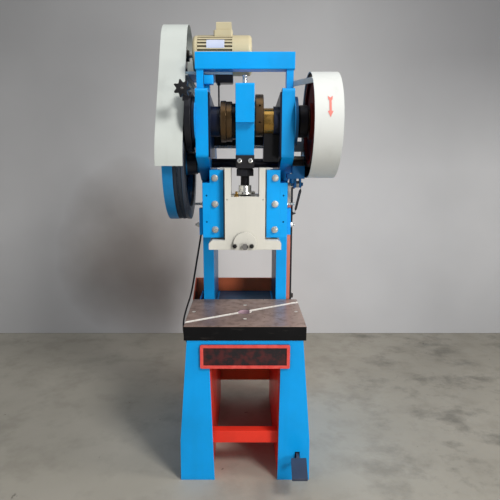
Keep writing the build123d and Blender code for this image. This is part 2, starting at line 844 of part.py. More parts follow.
pulley_x = (-252.0, -219.0)
with BuildPart() as motor_pulley:
    turned(
        [(pulley_x[0], motor_shaft_radius + running_fit), (pulley_x[0], motor_pulley_radius)]
        + groove(groove_centres[0], motor_pulley_radius)
        + groove(groove_centres[1], motor_pulley_radius)
        + [(pulley_x[1], motor_pulley_radius), (pulley_x[1], 20), (pulley_x[1] + 12, 20),
           (pulley_x[1] + 12, motor_shaft_radius + running_fit)],
        back_shaft_y,
        motor_z,
    )
save(motor_pulley, "motor_pulley")

box_x = (-114.0, -45.0)
box_half_y = 36.0
box_step_z = 1032.0
lid_x = (-105.0, -49.0)
lid_half_y = 30.0
lid_top_z = 1061.0
with BuildPart() as terminal_box:
    block(box_x, (back_shaft_y - box_half_y, back_shaft_y + box_half_y), (motor_z + 50, box_step_z))
    fillet(terminal_box.edges().filter_by(Axis.Z), 6)
    block(lid_x, (back_shaft_y - lid_half_y, back_shaft_y + lid_half_y), (box_step_z, lid_top_z))
    fillet(terminal_box.faces().sort_by(Axis.Z)[-1].edges(), 4)
    disc((box_x[0] - 5, box_x[1] + 5), motor_radius + 0.1, back_shaft_y, motor_z, mode=Mode.SUBTRACT)
save(terminal_box, "terminal_box")

# Belts in tangent runs between the two sheaves
belt_top = 11.4
belt_bottom = 8.6
belt_low_radius = flywheel_radius - belt_sink
belt_high_radius = motor_pulley_radius - belt_sink
belt_lean = (belt_low_radius - belt_high_radius) / (motor_z - back_shaft_z)
belt_side = sqrt(1 - belt_lean**2)
with BuildPart() as v_belts:
    for centre_x in groove_centres:
        low_y, low_z = belt_low_radius * belt_side, back_shaft_z + belt_low_radius * belt_lean
        high_y, high_z = belt_high_radius * belt_side, motor_z + belt_high_radius * belt_lean
        with BuildLine() as belt_path:
            Line((centre_x, back_shaft_y + low_y, low_z), (centre_x, back_shaft_y + high_y, high_z))
            ThreePointArc(
                (centre_x, back_shaft_y + high_y, high_z),
                (centre_x, back_shaft_y, motor_z + belt_high_radius),
                (centre_x, back_shaft_y - high_y, high_z),
            )
            Line((centre_x, back_shaft_y - high_y, high_z), (centre_x, back_shaft_y - low_y, low_z))
            ThreePointArc(
                (centre_x, back_shaft_y - low_y, low_z),
                (centre_x, back_shaft_y, back_shaft_z - belt_low_radius),
                (centre_x, back_shaft_y + low_y, low_z),
            )
        with BuildSketch(Plane(belt_path.line @ 0, x_dir=(1, 0, 0), z_dir=belt_path.line % 0)) as belt_section:
            with BuildLine():
                Polyline(
                    (-belt_top / 2, 0), (belt_top / 2, 0), (belt_bottom / 2, -belt_depth),
                    (-belt_bottom / 2, -belt_depth), close=True,
                )
            make_face()
        sweep(belt_section.sketch, path=belt_path.line)
save(v_belts, "v_belts")


# Sheet guards
def hull_outline(x, circles):
    """The outline that wraps round a set of circles in the plane at x."""
    with BuildSketch(Plane.YZ.offset(x)) as outline:
        for y, z, radius in circles:
            with Locations((y, z)):
                Circle(radius)
        make_hull()
    return outline.sketch


def wrapped(x_range, circles, mode=Mode.ADD):
    """A solid between two X faces with that wrapped outline."""
    extrude(hull_outline(x_range[0], circles), amount=x_range[1] - x_range[0], mode=mode)


def belt_guard_circles(inset):
    return (
        (back_shaft_y, back_shaft_z, belt_guard_low_radius - inset),
        (belt_guard_top_y, motor_z, belt_guard_top_radius - inset),
    )


bridge_x = (-219.5, -202.0)
stay_x = (-232.0, -frame_outer_x)
stay_z = (620.0, 660.0)
stay_thickness = 4.0
with BuildPart() as belt_guard_bridge:
    block(bridge_x, (-100, 400), (motor_plate_z[0] - 4, motor_plate_z[0]))
    wrapped(bridge_x, belt_guard_circles(guard_sheet), mode=Mode.INTERSECT)
with BuildPart() as belt_guard_stay:
    block(stay_x, (back_shaft_y, 420), stay_z)
    wrapped(stay_x, belt_guard_circles(guard_sheet), mode=Mode.INTERSECT)
    wrapped(stay_x, belt_guard_circles(guard_sheet + stay_thickness), mode=Mode.SUBTRACT)
with BuildPart() as belt_guard:
    guard_reach = belt_guard_low_radius + 20
    wrapped((belt_guard_outer_x, belt_guard_inner_x), belt_guard_circles(0))
    wrapped((belt_guard_outer_x + guard_sheet, belt_guard_inner_x), belt_guard_circles(guard_sheet),
            mode=Mode.SUBTRACT)
    block(
        (belt_guard_outer_x - 1, belt_guard_inner_x + 1),
        (back_shaft_y - guard_reach, back_shaft_y + guard_reach),
        (back_shaft_z - guard_reach, belt_guard_cut_z),
        mode=Mode.SUBTRACT,
    )
    add(belt_guard_bridge.part)
    add(belt_guard_stay.part)
save(belt_guard, "belt_guard")


def gear_guard_circles(inset):
    return (
        (0, gear_guard_z, gear_guard_radius - inset),
        (back_shaft_y, back_shaft_z, gear_guard_bulge - inset),
    )


strap_z = (820.0, 838.0)
strap_thickness = 7.0
strap_end = (gear_left_x - 1, -107.0)
gear_stay_x = (frame_outer_x, gear_left_x + 4)
gear_stay_z = (600.0, 640.0)
with BuildPart() as gear_guard_strap:
    with BuildSketch(Plane.XY.offset(strap_z[0])):
        with BuildLine():
            Polyline(
                (post_outer_x, post_front_y), (post_outer_x, post_front_y + strap_thickness),
                strap_end, (strap_end[0], strap_end[1] - strap_thickness), close=True,
            )
        make_face()
    extrude(amount=strap_z[1] - strap_z[0])
    wrapped((post_outer_x, strap_end[0]), gear_guard_circles(0), mode=Mode.INTERSECT)
with BuildPart() as gear_guard_stay:
    block(gear_stay_x, (back_shaft_y, back_shaft_y + 90), gear_stay_z)
    wrapped(gear_stay_x, gear_guard_circles(guard_sheet), mode=Mode.INTERSECT)
    wrapped(gear_stay_x, gear_guard_circles(guard_sheet + stay_thickness), mode=Mode.SUBTRACT)
with BuildPart() as gear_guard:
    wrapped((gear_guard_inner_x, gear_guard_outer_x), gear_guard_circles(0))
    wrapped((gear_guard_inner_x, gear_guard_outer_x - guard_sheet), gear_guard_circles(guard_sheet),
            mode=Mode.SUBTRACT)
    add(gear_guard_strap.part)
    add(gear_guard_stay.part)
save(gear_guard, "gear_guard")

# Connecting rod and ball screw
rod_top_z = 823.0
rod_step_z = 695.0
rod_low_z = 586.0
rod_deep = 87.0
rod_shank_top = 66.0
rod_shank_low = 35.0
ball_z = eccentric_z - rod_length
ball_radius = 21.0
screw_radius = 16.5
screw_top_z = 645.0
with BuildPart() as connecting_rod:
    side_profile(
        [
            (-rod_deep, rod_step_z), (-rod_deep, rod_top_z), (rod_deep, rod_top_z),
            (rod_deep, rod_step_z), (rod_shank_top, rod_step_z), (rod_shank_low, rod_low_z),
            (-rod_shank_low, rod_low_z), (-rod_shank_top, rod_step_z),
        ],
        (-rod_half_width, rod_half_width),
    )
    fillet(connecting_rod.edges().filter_by(Axis.X).group_by(Axis.Z)[-1], 8)
    chamfer(connecting_rod.faces().sort_by(Axis.X)[-1].outer_wire().edges(), 1)
    chamfer(connecting_rod.faces().sort_by(Axis.X)[0].outer_wire().edges(), 1)
    disc((-rod_half_width, rod_half_width), rod_bush_radius, 0, eccentric_z, mode=Mode.SUBTRACT)
    pillar((rod_low_z, screw_top_z), screw_radius + running_fit, 0, 0, mode=Mode.SUBTRACT)
save(connecting_rod, "connecting_rod")

with BuildPart() as rod_bush:
    disc((-rod_half_width, rod_half_width), rod_bush_radius, 0, eccentric_z)
    disc((-rod_half_width, rod_half_width), eccentric_radius + running_fit, 0, eccentric_z,
         mode=Mode.SUBTRACT)
save(rod_bush, "rod_bush")

clamp_half_x = 33.0
clamp_half_y = 40.0
clamp_bottom_z = 541.0
clamp_bolt_x = 19.0
clamp_bolt_z = 567.0
clamp_bolt_radius = 5.0
with BuildPart() as clamp_block:
    block((-clamp_half_x, clamp_half_x), (-clamp_half_y, clamp_half_y), (clamp_bottom_z, rod_low_z))
    chamfer(clamp_block.edges().filter_by(Axis.Z), 2)
    pillar((clamp_bottom_z, rod_low_z), screw_radius + running_fit, 0, 0, mode=Mode.SUBTRACT)
    block((-1.2, 1.2), (screw_radius - 1, clamp_half_y), (clamp_bottom_z, rod_low_z), mode=Mode.SUBTRACT)
    for side in (-1, 1):
        rod_y((-clamp_half_y, -clamp_half_y + 20), clamp_bolt_radius + running_fit,
              side * clamp_bolt_x, clamp_bolt_z, mode=Mode.SUBTRACT)
save(clamp_block, "clamp_block")

with BuildPart() as clamp_bolts:
    for side in (-1, 1):
        rod_y((-clamp_half_y, -clamp_half_y + 20), clamp_bolt_radius, side * clamp_bolt_x, clamp_bolt_z)
        rod_y((-clamp_half_y - 7, -clamp_half_y), 8.0, side * clamp_bolt_x, clamp_bolt_z)
save(clamp_bolts, "clamp_bolts")

lock_ring_z = (458.0, 480.0)
lock_ring_radius = 23.0
lock_flange_z = (447.6, lock_ring_z[0])
lock_flange_radius = 36.0
lock_nut_z = (513.0, clamp_bottom_z)
lock_nut_radius = 33.0
with BuildPart() as ball_screw:
    with Locations((0, 0, ball_z)):
        Sphere(ball_radius)
    pillar((ball_z, screw_top_z), screw_radius, 0, 0)
    pillar(lock_ring_z, lock_ring_radius, 0, 0)
    pillar(lock_flange_z, lock_flange_radius, 0, 0)
    with BuildSketch(Plane.XY.offset(lock_nut_z[0])):
        RegularPolygon(lock_nut_radius, 6)
    extrude(amount=lock_nut_z[1] - lock_nut_z[0])
    chamfer(ball_screw.faces().filter_by(Plane.XY).sort_by(Axis.Z)[-1].edges(), 2)
save(ball_screw, "ball_screw")

cup_top_z = 860.0
with BuildPart() as oil_cup:
    pillar((rod_top_z, rod_top_z + 5), 8.5, 0, 0)
    pillar((rod_top_z + 5, rod_top_z + 11), 4, 0, 0)
    pillar((rod_top_z + 11, cup_top_z - 4), 8, 0, 0)
    pillar((cup_top_z - 4, cup_top_z), 9, 0, 0)
save(oil_cup, "oil_cup")

# Ram
foot_chamfer = 12.0
pocket_radius = ball_radius + moving_gap
pocket_floor_z = ball_z - ball_radius - 4.6
shank_screw_z = 270.0
shank_screw_radius = 6.0
stud_x = (-36.0, 24.0)
stud_radius = 4.0
with BuildPart() as ram:
    block((-ram_half, ram_half), (ram_front_y, ram_flank_front_y), (ram_bottom_z, ram_top_z))
    block((-ram_flank_half, ram_flank_half), (ram_flank_front_y, ram_rear_y), (ram_bottom_z, ram_top_z))
    front_profile(
        [
            (ram_foot_half, ram_bottom_z),
            (ram_foot_half, ram_bottom_z + ram_foot_height - foot_chamfer),
            (ram_foot_half - foot_chamfer, ram_bottom_z + ram_foot_height),
            (-ram_foot_half + foot_chamfer, ram_bottom_z + ram_foot_height),
            (-ram_foot_half, ram_bottom_z + ram_foot_height - foot_chamfer),
            (-ram_foot_half, ram_bottom_z),
        ],
        (ram_front_y, ram_rear_y),
    )
    block((-notch_half, notch_half), (ram_front_y, ram_rear_y), (notch_floor_z, ram_top_z),
          mode=Mode.SUBTRACT)
    with BuildSketch(Plane.XY.offset(pocket_floor_z)):
        with Locations((0, -crank_throw / 2)):
            SlotOverall(2 * pocket_radius + crank_throw, 2 * pocket_radius, rotation=90)
    extrude(amount=notch_floor_z - pocket_floor_z, mode=Mode.SUBTRACT)
    pillar((ram_bottom_z, ram_bottom_z + shank_depth), shank_radius, 0, 0, mode=Mode.SUBTRACT)
    rod_y((ram_front_y, 0), shank_screw_radius + running_fit, 0, shank_screw_z, mode=Mode.SUBTRACT)
    for place_x in stud_x:
        rod_y((ram_front_y, ram_front_y + 24), stud_radius + running_fit, place_x, shank_screw_z,
              mode=Mode.SUBTRACT)
    for side in (-1, 1):
        rod_y((ram_front_y, ram_front_y + 8), 2.0, side * 63, notch_floor_z - 10, mode=Mode.SUBTRACT)
save(ram, "ram")

cap_radius = 41.0
cap_z = 278.0
cap_thickness = 10.0
cap_y = (ram_front_y - cap_thickness, ram_front_y)
with BuildPart() as tool_cap:
    rod_y(cap_y, cap_radius, 0, cap_z)
    block((-cap_radius, cap_radius), cap_y, (cap_z - cap_radius, ram_bottom_z), mode=Mode.SUBTRACT)
    rod_y(cap_y, shank_screw_radius + running_fit, 0, shank_screw_z, mode=Mode.SUBTRACT)
    for place_x in stud_x:
        rod_y(cap_y, stud_radius + running_fit, place_x, shank_screw_z, mode=Mode.SUBTRACT)
save(tool_cap, "tool_cap")

screw_head = 23.0
with BuildPart() as tool_cap_screws:
    rod_y((cap_y[0] - 8, -shank_radius - 1), shank_screw_radius, 0, shank_screw_z)
    with BuildSketch(Plane.XZ.offset(-cap_y[0] + 8)) as head_outline:
        with Locations((0, shank_screw_z)):
            RegularPolygon(screw_head / 2, 6)
    extrude(head_outline.sketch, amount=12)
    for place_x in stud_x:
        rod_y((cap_y[0] - 12, ram_front_y + 22), stud_radius, place_x, shank_screw_z)
        with BuildSketch(Plane.XZ.offset(-cap_y[0])) as nut_outline:
            with Locations((place_x, shank_screw_z)):
                RegularPolygon(8, 6)
        extrude(nut_outline.sketch, amount=6.5)
save(tool_cap_screws, "tool_cap_screws")

# Guides
keep_rear_y = ram_flank_front_y - 0.08
lip_front_y = ram_rear_y + 0.08
lip_rear_y = 80.0
gib_outer_x = ram_flank_half + gib_thickness
keep_bolt_radius = 6.0
gib_screw_radius = 5.0
lug_outer_x = frame_outer_x
guide_lug_y = (20.0, 55.0)
guide_lug_top_z = 393.0


with BuildPart() as guide_blocks:
    for side in (-1, 1):
        with BuildSketch(Plane.XY.offset(guide_bottom_z)) as way:
            with BuildLine():
                Polyline(
                    (side * gib_outer_x, keep_rear_y), (side * keep_outer_x, keep_rear_y),
                    (side * keep_outer_x, lip_rear_y), (side * keep_inner_x, lip_rear_y),
                    (side * keep_inner_x, lip_front_y), (side * gib_outer_x, lip_front_y), close=True,
                )
            make_face()
        extrude(way.sketch, amount=keep_top_z - guide_bottom_z)
        block(span(side, keep_outer_x, guide_outer_x), (keep_front_y, column_front_y),
              (guide_bottom_z, guide_top_z))
        block(span(side, guide_outer_x, lug_outer_x), guide_lug_y, (guide_bottom_z, guide_lug_top_z))
        for level in keep_bolt_levels:
            rod_y((keep_rear_y, keep_rear_y + 28), keep_bolt_radius + running_fit,
                  side * keep_bolt_x, level, mode=Mode.SUBTRACT)
        for level in gib_screw_levels:
            disc(span(side, gib_outer_x, lug_outer_x), gib_screw_radius + running_fit,
                 gib_screw_y, level, mode=Mode.SUBTRACT)
        for level in (351.0, 445.0):
            rod_y((keep_front_y, keep_front_y + 9), 3.0, side * 137, level, mode=Mode.SUBTRACT)
save(guide_blocks, "guide_blocks")

with BuildPart() as gibs:
    for side in (-1, 1):
        block(span(side, ram_flank_half + 0.06, gib_outer_x), (ram_flank_front_y, ram_rear_y),
              (guide_bottom_z, keep_top_z - 3))
save(gibs, "gibs")

with BuildPart() as keep_plates:
    for side in (-1, 1):
        block(span(side, keep_inner_x, keep_outer_x), (keep_front_y, keep_rear_y),
              (guide_bottom_z, keep_top_z))
        for level in keep_bolt_levels:
            rod_y((keep_front_y, keep_rear_y), keep_bolt_radius + running_fit,
                  side * keep_bolt_x, level, mode=Mode.SUBTRACT)
save(keep_plates, "keep_plates")

with BuildPart() as keep_bolts:
    for side in (-1, 1):
        for level in keep_bolt_levels:
            rod_y((keep_front_y, keep_rear_y + 26), keep_bolt_radius, side * keep_bolt_x, level)
            rod_y((keep_front_y - 3, keep_front_y), 11.0, side * keep_bolt_x, level)
            rod_y((keep_front_y - 10, keep_front_y - 3), 8.5, side * keep_bolt_x, level)
save(keep_bolts, "keep_bolts")

gib_screw_end_x = 186.0
nut_thickness = 8.0
with BuildPart() as gib_screws:
    for side in (-1, 1):
        for level, seat_x in zip(gib_screw_levels, (lug_outer_x, guide_outer_x)):
            disc(span(side, gib_outer_x, gib_screw_end_x), gib_screw_radius, gib_screw_y, level)
            hexagon_x(span(side, seat_x, seat_x + nut_thickness), 9, gib_screw_y, level)
save(gib_screws, "gib_screws")

# Brake band and hand knob
band_x = (drum_left_x + 1, drum_right_x - 1)
lining_radius = drum_radius + moving_gap
band_radius = lining_radius + lining_thickness + band_thickness
ear_x = (-211.0, -190.0)
ear_top_z = 812.0
fixed_ear_y = (-74.0, -68.0)
free_ear_y = (-58.0, -50.0)
stem_radius = 5.0
with BuildPart() as brake_band:
    disc(band_x, band_radius, 0, crank_z)
    disc(band_x, lining_radius, 0, crank_z, mode=Mode.SUBTRACT)
    block(band_x, (fixed_ear_y[1], free_ear_y[0]), (crank_z + 40, ear_top_z), mode=Mode.SUBTRACT)
    for ear_y in (fixed_ear_y, free_ear_y):
        ear_foot_z = crank_z + sqrt(lining_radius**2 - ear_y[1]**2) + 1
        block(ear_x, ear_y, (ear_foot_z, ear_top_z))
    rod_y((fixed_ear_y[0], free_ear_y[1]), stem_radius + 0.1, knob_x, knob_z, mode=Mode.SUBTRACT)
save(brake_band, "brake_band")

knob_lobes = 7
with BuildPart() as brake_knob:
    with BuildSketch(Plane.XZ.offset(-knob_y - 10)) as knob_outline:
        with Locations((knob_x, knob_z)):
            Circle(knob_radius - 11)
            with PolarLocations(knob_radius - 6.5, knob_lobes):
                Circle(6.5)
    extrude(knob_outline.sketch, amount=20)
    fillet(brake_knob.faces().sort_by(Axis.Y)[0].edges(), 2)
    rod_y((knob_y + 10, knob_y + 22), 12, knob_x, knob_z)
    rod_y((knob_y + 10, free_ear_y[1] + 4), stem_radius, knob_x, knob_z)
save(brake_knob, "brake_knob")

# Oiler under the motor plate, with its pipe to the left main bearing
oiler_x = (-105.0, -43.0)
oiler_y = (38.0, 84.0)
oiler_z = (840.0, motor_plate_z[0])
pipe_x = -94.0
pipe_y = 46.0
with BuildPart() as oiler:
    block(oiler_x, oiler_y, oiler_z)
    fillet(oiler.edges().filter_by(Axis.Y), 4)
    pillar((crank_z + 10, oiler_z[0]), 3.0, pipe_x, pipe_y)
    pillar((oiler_z[0] - 8, oiler_z[0]), 6.0, pipe_x, pipe_y)
    disc((-inner_boss_x[-1] - 40, -inner_boss_x[-1]), inner_boss_radius, 0, crank_z, mode=Mode.SUBTRACT)
save(oiler, "oiler")

# Trip lever, pull rod, spring and pedal
lever_radius = 12.0
lever_pin_radius = 6.0
rod_top_pin_z = 475.0
slot_length = 14.0
pin_gap = 0.35
with BuildPart() as trip_lever:
    wrapped(
        arm_x,
        ((trip_pivot_y, trip_pivot_z, lever_radius), (pull_rod_y, rod_top_pin_z, lever_radius - 1)),
    )
    disc(arm_x, lever_pin_radius + running_fit, trip_pivot_y, trip_pivot_z, mode=Mode.SUBTRACT)
    with BuildSketch(Plane.YZ.offset(arm_x[0])):
        with Locations((pull_rod_y, rod_top_pin_z)):
            SlotOverall(slot_length, 2 * (fork_pin_radius + pin_gap))
    extrude(amount=linkage_thickness, mode=Mode.SUBTRACT)
save(trip_lever, "trip_lever")

bracket_x = (150.0, 214.0)
ear_spans = ((arm_x[0] - 9, arm_x[0] - side_gap), (arm_x[1] + side_gap, arm_x[1] + 7))
pivot_pin_end_x = 212.0
with BuildPart() as trip_bracket:
    block((frame_outer_x, bracket_x[1]), (-15.0, 28.0), (503.0, 548.0))
    block((guide_outer_x + 0.5, frame_outer_x), (-15.0, 28.0), (503.0, 520.0))
    for ear in ear_spans:
        side_profile(
            [(0.0, 503.0), (28.0, 503.0), (28.0, 476.0), (20.0, 470.0), (8.0, 470.0), (0.0, 478.0)],
            ear,
        )
    disc((ear_spans[0][0], pivot_pin_end_x), lever_pin_radius, trip_pivot_y, trip_pivot_z)
    pillar((487.0, 503.0), 9.0, 170, -4)
save(trip_bracket, "trip_bracket")

fork_x = (arm_x[0] - 6, arm_x[1] + 6)
fork_gap_x = (arm_x[0] - side_gap, arm_x[1] + side_gap)
fork_y = (pull_rod_y - 10, pull_rod_y + 10)
upper_fork_z = (rod_top_pin_z - 22, rod_top_pin_z + 17)
lower_fork_z = (pedal_pivot_z - 22, pedal_pivot_z + 28)
collar_z = 351.0
with BuildPart() as pull_rod:
    block(fork_x, fork_y, upper_fork_z)
    block(fork_gap_x, fork_y, (upper_fork_z[0] + 7, upper_fork_z[1]), mode=Mode.SUBTRACT)
    block(fork_x, fork_y, lower_fork_z)
    block(fork_gap_x, fork_y, (lower_fork_z[0], lower_fork_z[1] - 7), mode=Mode.SUBTRACT)
    disc(fork_x, fork_pin_radius, pull_rod_y, rod_top_pin_z)
    disc(fork_x, fork_pin_radius, pull_rod_y, pedal_pivot_z)
    pillar((lower_fork_z[1] - 5, upper_fork_z[0] + 5), pull_rod_radius, linkage_x, pull_rod_y)
    pillar((collar_z - 6, collar_z + 6), pull_rod_radius + 4, linkage_x, pull_rod_y)
    disc((linkage_x, linkage_x + 17), 2.5, pull_rod_y, collar_z)
save(pull_rod, "pull_rod")

spring_x = (208.0, 205.0)
spring_top = Vector(spring_x[0], trip_pivot_y, trip_pivot_z)
spring_low = Vector(spring_x[1], pull_rod_y, collar_z)
spring_run = spring_low - spring_top
spring_axis = spring_run.normalized()
spring_body_radius = 5.0
hook_radius = 1.5
with BuildPart() as return_spring:
    with BuildSketch(Plane(spring_top + spring_axis * (lever_pin_radius + 0.3), z_dir=spring_axis)):
        Circle(hook_radius)
    extrude(amount=spring_run.length - lever_pin_radius - 3.1)
    with BuildSketch(Plane(spring_top + spring_axis * 32, z_dir=spring_axis)):
        Circle(spring_body_radius)
    extrude(amount=spring_run.length - 56)
save(return_spring, "return_spring")

guide_eye_z = (-8.0, 8.0)
guard_strip_x = (frame_outer_x, frame_outer_x + 14)
guard_strip_y = (column_front_y + 3, column_front_y + 9)
guard_strip_z = (-10.0, 480.0)
with BuildPart() as rod_guide:
    block((frame_outer_x, linkage_x), (pull_rod_y - 9, pull_rod_y + 9), guide_eye_z)
    pillar(guide_eye_z, 13, linkage_x, pull_rod_y)
    pillar(guide_eye_z, pull_rod_radius + 0.1, linkage_x, pull_rod_y, mode=Mode.SUBTRACT)
    block(guard_strip_x, guard_strip_y, guard_strip_z)
save(rod_guide, "rod_guide")

pad_near_x = (159.0, 213.0)
pad_far_x = (167.0, 222.0)
pad_y = (-309.0, -193.0)
pad_thickness = 8.0
arm_half_height = 15.0
with BuildPart() as pedal:
    with BuildSketch(Plane.XY.offset(pedal_pad_top_z - pad_thickness)):
        with BuildLine():
            Polyline(
                (pad_near_x[0], pad_y[0]), (pad_near_x[1], pad_y[0]), (pad_far_x[1], pad_y[1]),
                (pad_far_x[0], pad_y[1]), close=True,
            )
        make_face()
    extrude(amount=pad_thickness)
    fillet(pedal.edges().filter_by(Axis.Z), 3)
    side_profile(
        [
            (pad_y[0] + 20, pedal_pad_top_z - pad_thickness),
            (pad_y[1], pedal_pad_top_z - pad_thickness),
            (pad_y[1] + 8, pedal_pivot_z + arm_half_height),
            (pedal_pivot_y + 16, pedal_pivot_z + arm_half_height),
            (pedal_pivot_y + 16, pedal_pivot_z - arm_half_height),
            (pad_y[0] + 45, pedal_pivot_z - arm_half_height),
        ],
        arm_x,
    )
    disc(arm_x, pedal_pin_radius + running_fit, pedal_pivot_y, pedal_pivot_z, mode=Mode.SUBTRACT)
    with BuildSketch(Plane.YZ.offset(arm_x[0])):
        with Locations((pull_rod_y, pedal_pivot_z)):
            SlotOverall(slot_length, 2 * (fork_pin_radius + pin_gap))
    extrude(amount=linkage_thickness, mode=Mode.SUBTRACT)
save(pedal, "pedal")

# Motor cable
cable_radius = 4.0
cable_route = [
    (-80, 178, 1020), (-80, 218, 1020), (-100, 262, 1003), (-135, 285, 955), (-160, 300, 900),
    (-172, 312, 830), (-180, 322, 740), (-181, 324, 640), (-179, 314, 530), (-178, 304, 420),
    (-178, 296, 320), (-191, 288, 240), (-208, 300, 150), (-228, 338, 50), (-249, 385, -45),
    (-276, 425, -120), (-296, 446, -190), (-297, 450, -250), (-286, 452, -300),
    (-264, 452, -318), (-stand_knee_half, 452, -318),
]
runs = [
    (Vector(cable_route[i + 1]) - Vector(cable_route[i])).length for i in range(len(cable_route) - 1)
]
bend_radii = []
for i in range(1, len(cable_route) - 1):
    before = Vector(cable_route[i]) - Vector(cable_route[i - 1])
    after = Vector(cable_route[i + 1]) - Vector(cable_route[i])
    turn = radians(before.get_angle(after))
    bend_radii.append(0.45 * min(runs[i - 1], runs[i]) / tan(turn / 2))
print("cable bend radii", [round(value) for value in bend_radii])
with BuildPart() as cable:
    with BuildLine() as cable_path:
        FilletPolyline(*cable_route, radius=bend_radii)
    with BuildSketch(Plane(cable_path.line @ 0, z_dir=cable_path.line % 0)):
        Circle(cable_radius)
    sweep(path=cable_path.line)
cable_length = sum(edge.length for edge in cable_path.edges())
swept_share = cable.part.volume / (pi * cable_radius**2 * cable_length)
print("cable length", round(cable_length), "swept share", round(swept_share, 4))
save(cable, "cable")

# Cable glands and clips
clip_levels = ((620.0, -181.0, 322.2), (360.0, -178.0, 299.2))
with BuildPart() as cable_fittings:
    gland_x, gland_z = cable_route[0][0], cable_route[0][2]
    rod_y((back_shaft_y + box_half_y, back_shaft_y + box_half_y + 16), 8.5, gland_x, gland_z)
    rod_y((back_shaft_y + box_half_y, 190), cable_radius + running_fit, gland_x, gland_z,
          mode=Mode.SUBTRACT)
    for level, clip_x, clip_y in clip_levels:
        block((clip_x - 7, -frame_outer_x), (clip_y - 8, clip_y + 8), (level - 7, level + 7))
        pillar((level - 7, level + 7), cable_radius + 1, clip_x, clip_y, mode=Mode.SUBTRACT)
save(cable_fittings, "cable_fittings")
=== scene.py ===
"""Looks of the geared stamping press: materials, fasteners, springs, welds and cable."""

import math
import random

import bmesh
import bpy
from mathutils import Matrix, Vector


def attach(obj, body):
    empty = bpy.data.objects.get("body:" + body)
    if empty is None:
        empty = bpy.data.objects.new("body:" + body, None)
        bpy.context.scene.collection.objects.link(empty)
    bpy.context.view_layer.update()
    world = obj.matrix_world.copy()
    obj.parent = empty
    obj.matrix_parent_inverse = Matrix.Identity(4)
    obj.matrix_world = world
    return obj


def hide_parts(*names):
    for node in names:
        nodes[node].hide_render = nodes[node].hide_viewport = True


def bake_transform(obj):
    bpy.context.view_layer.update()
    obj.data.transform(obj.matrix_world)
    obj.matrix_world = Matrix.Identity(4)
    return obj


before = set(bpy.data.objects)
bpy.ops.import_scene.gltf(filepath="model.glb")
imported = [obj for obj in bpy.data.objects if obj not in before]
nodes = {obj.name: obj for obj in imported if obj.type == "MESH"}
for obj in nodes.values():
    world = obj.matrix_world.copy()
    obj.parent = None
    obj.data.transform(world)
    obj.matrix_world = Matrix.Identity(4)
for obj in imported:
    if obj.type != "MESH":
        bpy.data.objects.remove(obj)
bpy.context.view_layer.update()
random.seed(7)

# Axes along X as (y, z), and the planes of the stage
CRANK_AXIS = (0.0, 0.703)
BACK_SHAFT_AXIS = (0.136, 0.556358)
MOTOR_AXIS = (0.136, 0.949)
GEAR_GUARD_AXIS = (0.0, 0.6875)
FLOOR_Z = -0.6
WALL_Y = 1.364

# Camera at the photograph's place
camera_data = bpy.data.cameras.new("camera")
camera_data.lens = 34.776
camera_data.sensor_width = 36.0
camera_data.shift_x = 0.010
camera = bpy.data.objects.new("camera", camera_data)
camera.location = (0.0, -1.767, 0.580)
camera.rotation_euler = (math.radians(79.1), 0.0, 0.0)
bpy.context.collection.objects.link(camera)
bpy.context.scene.camera = camera


# Node graphs
def srgb(red, green, blue):
    """Linear colour of an sRGB value given in 0 to 255."""
    def channel(value):
        value /= 255.0
        return value / 12.92 if value <= 0.04045 else ((value + 0.055) / 1.055) ** 2.4
    return (channel(red), channel(green), channel(blue), 1.0)


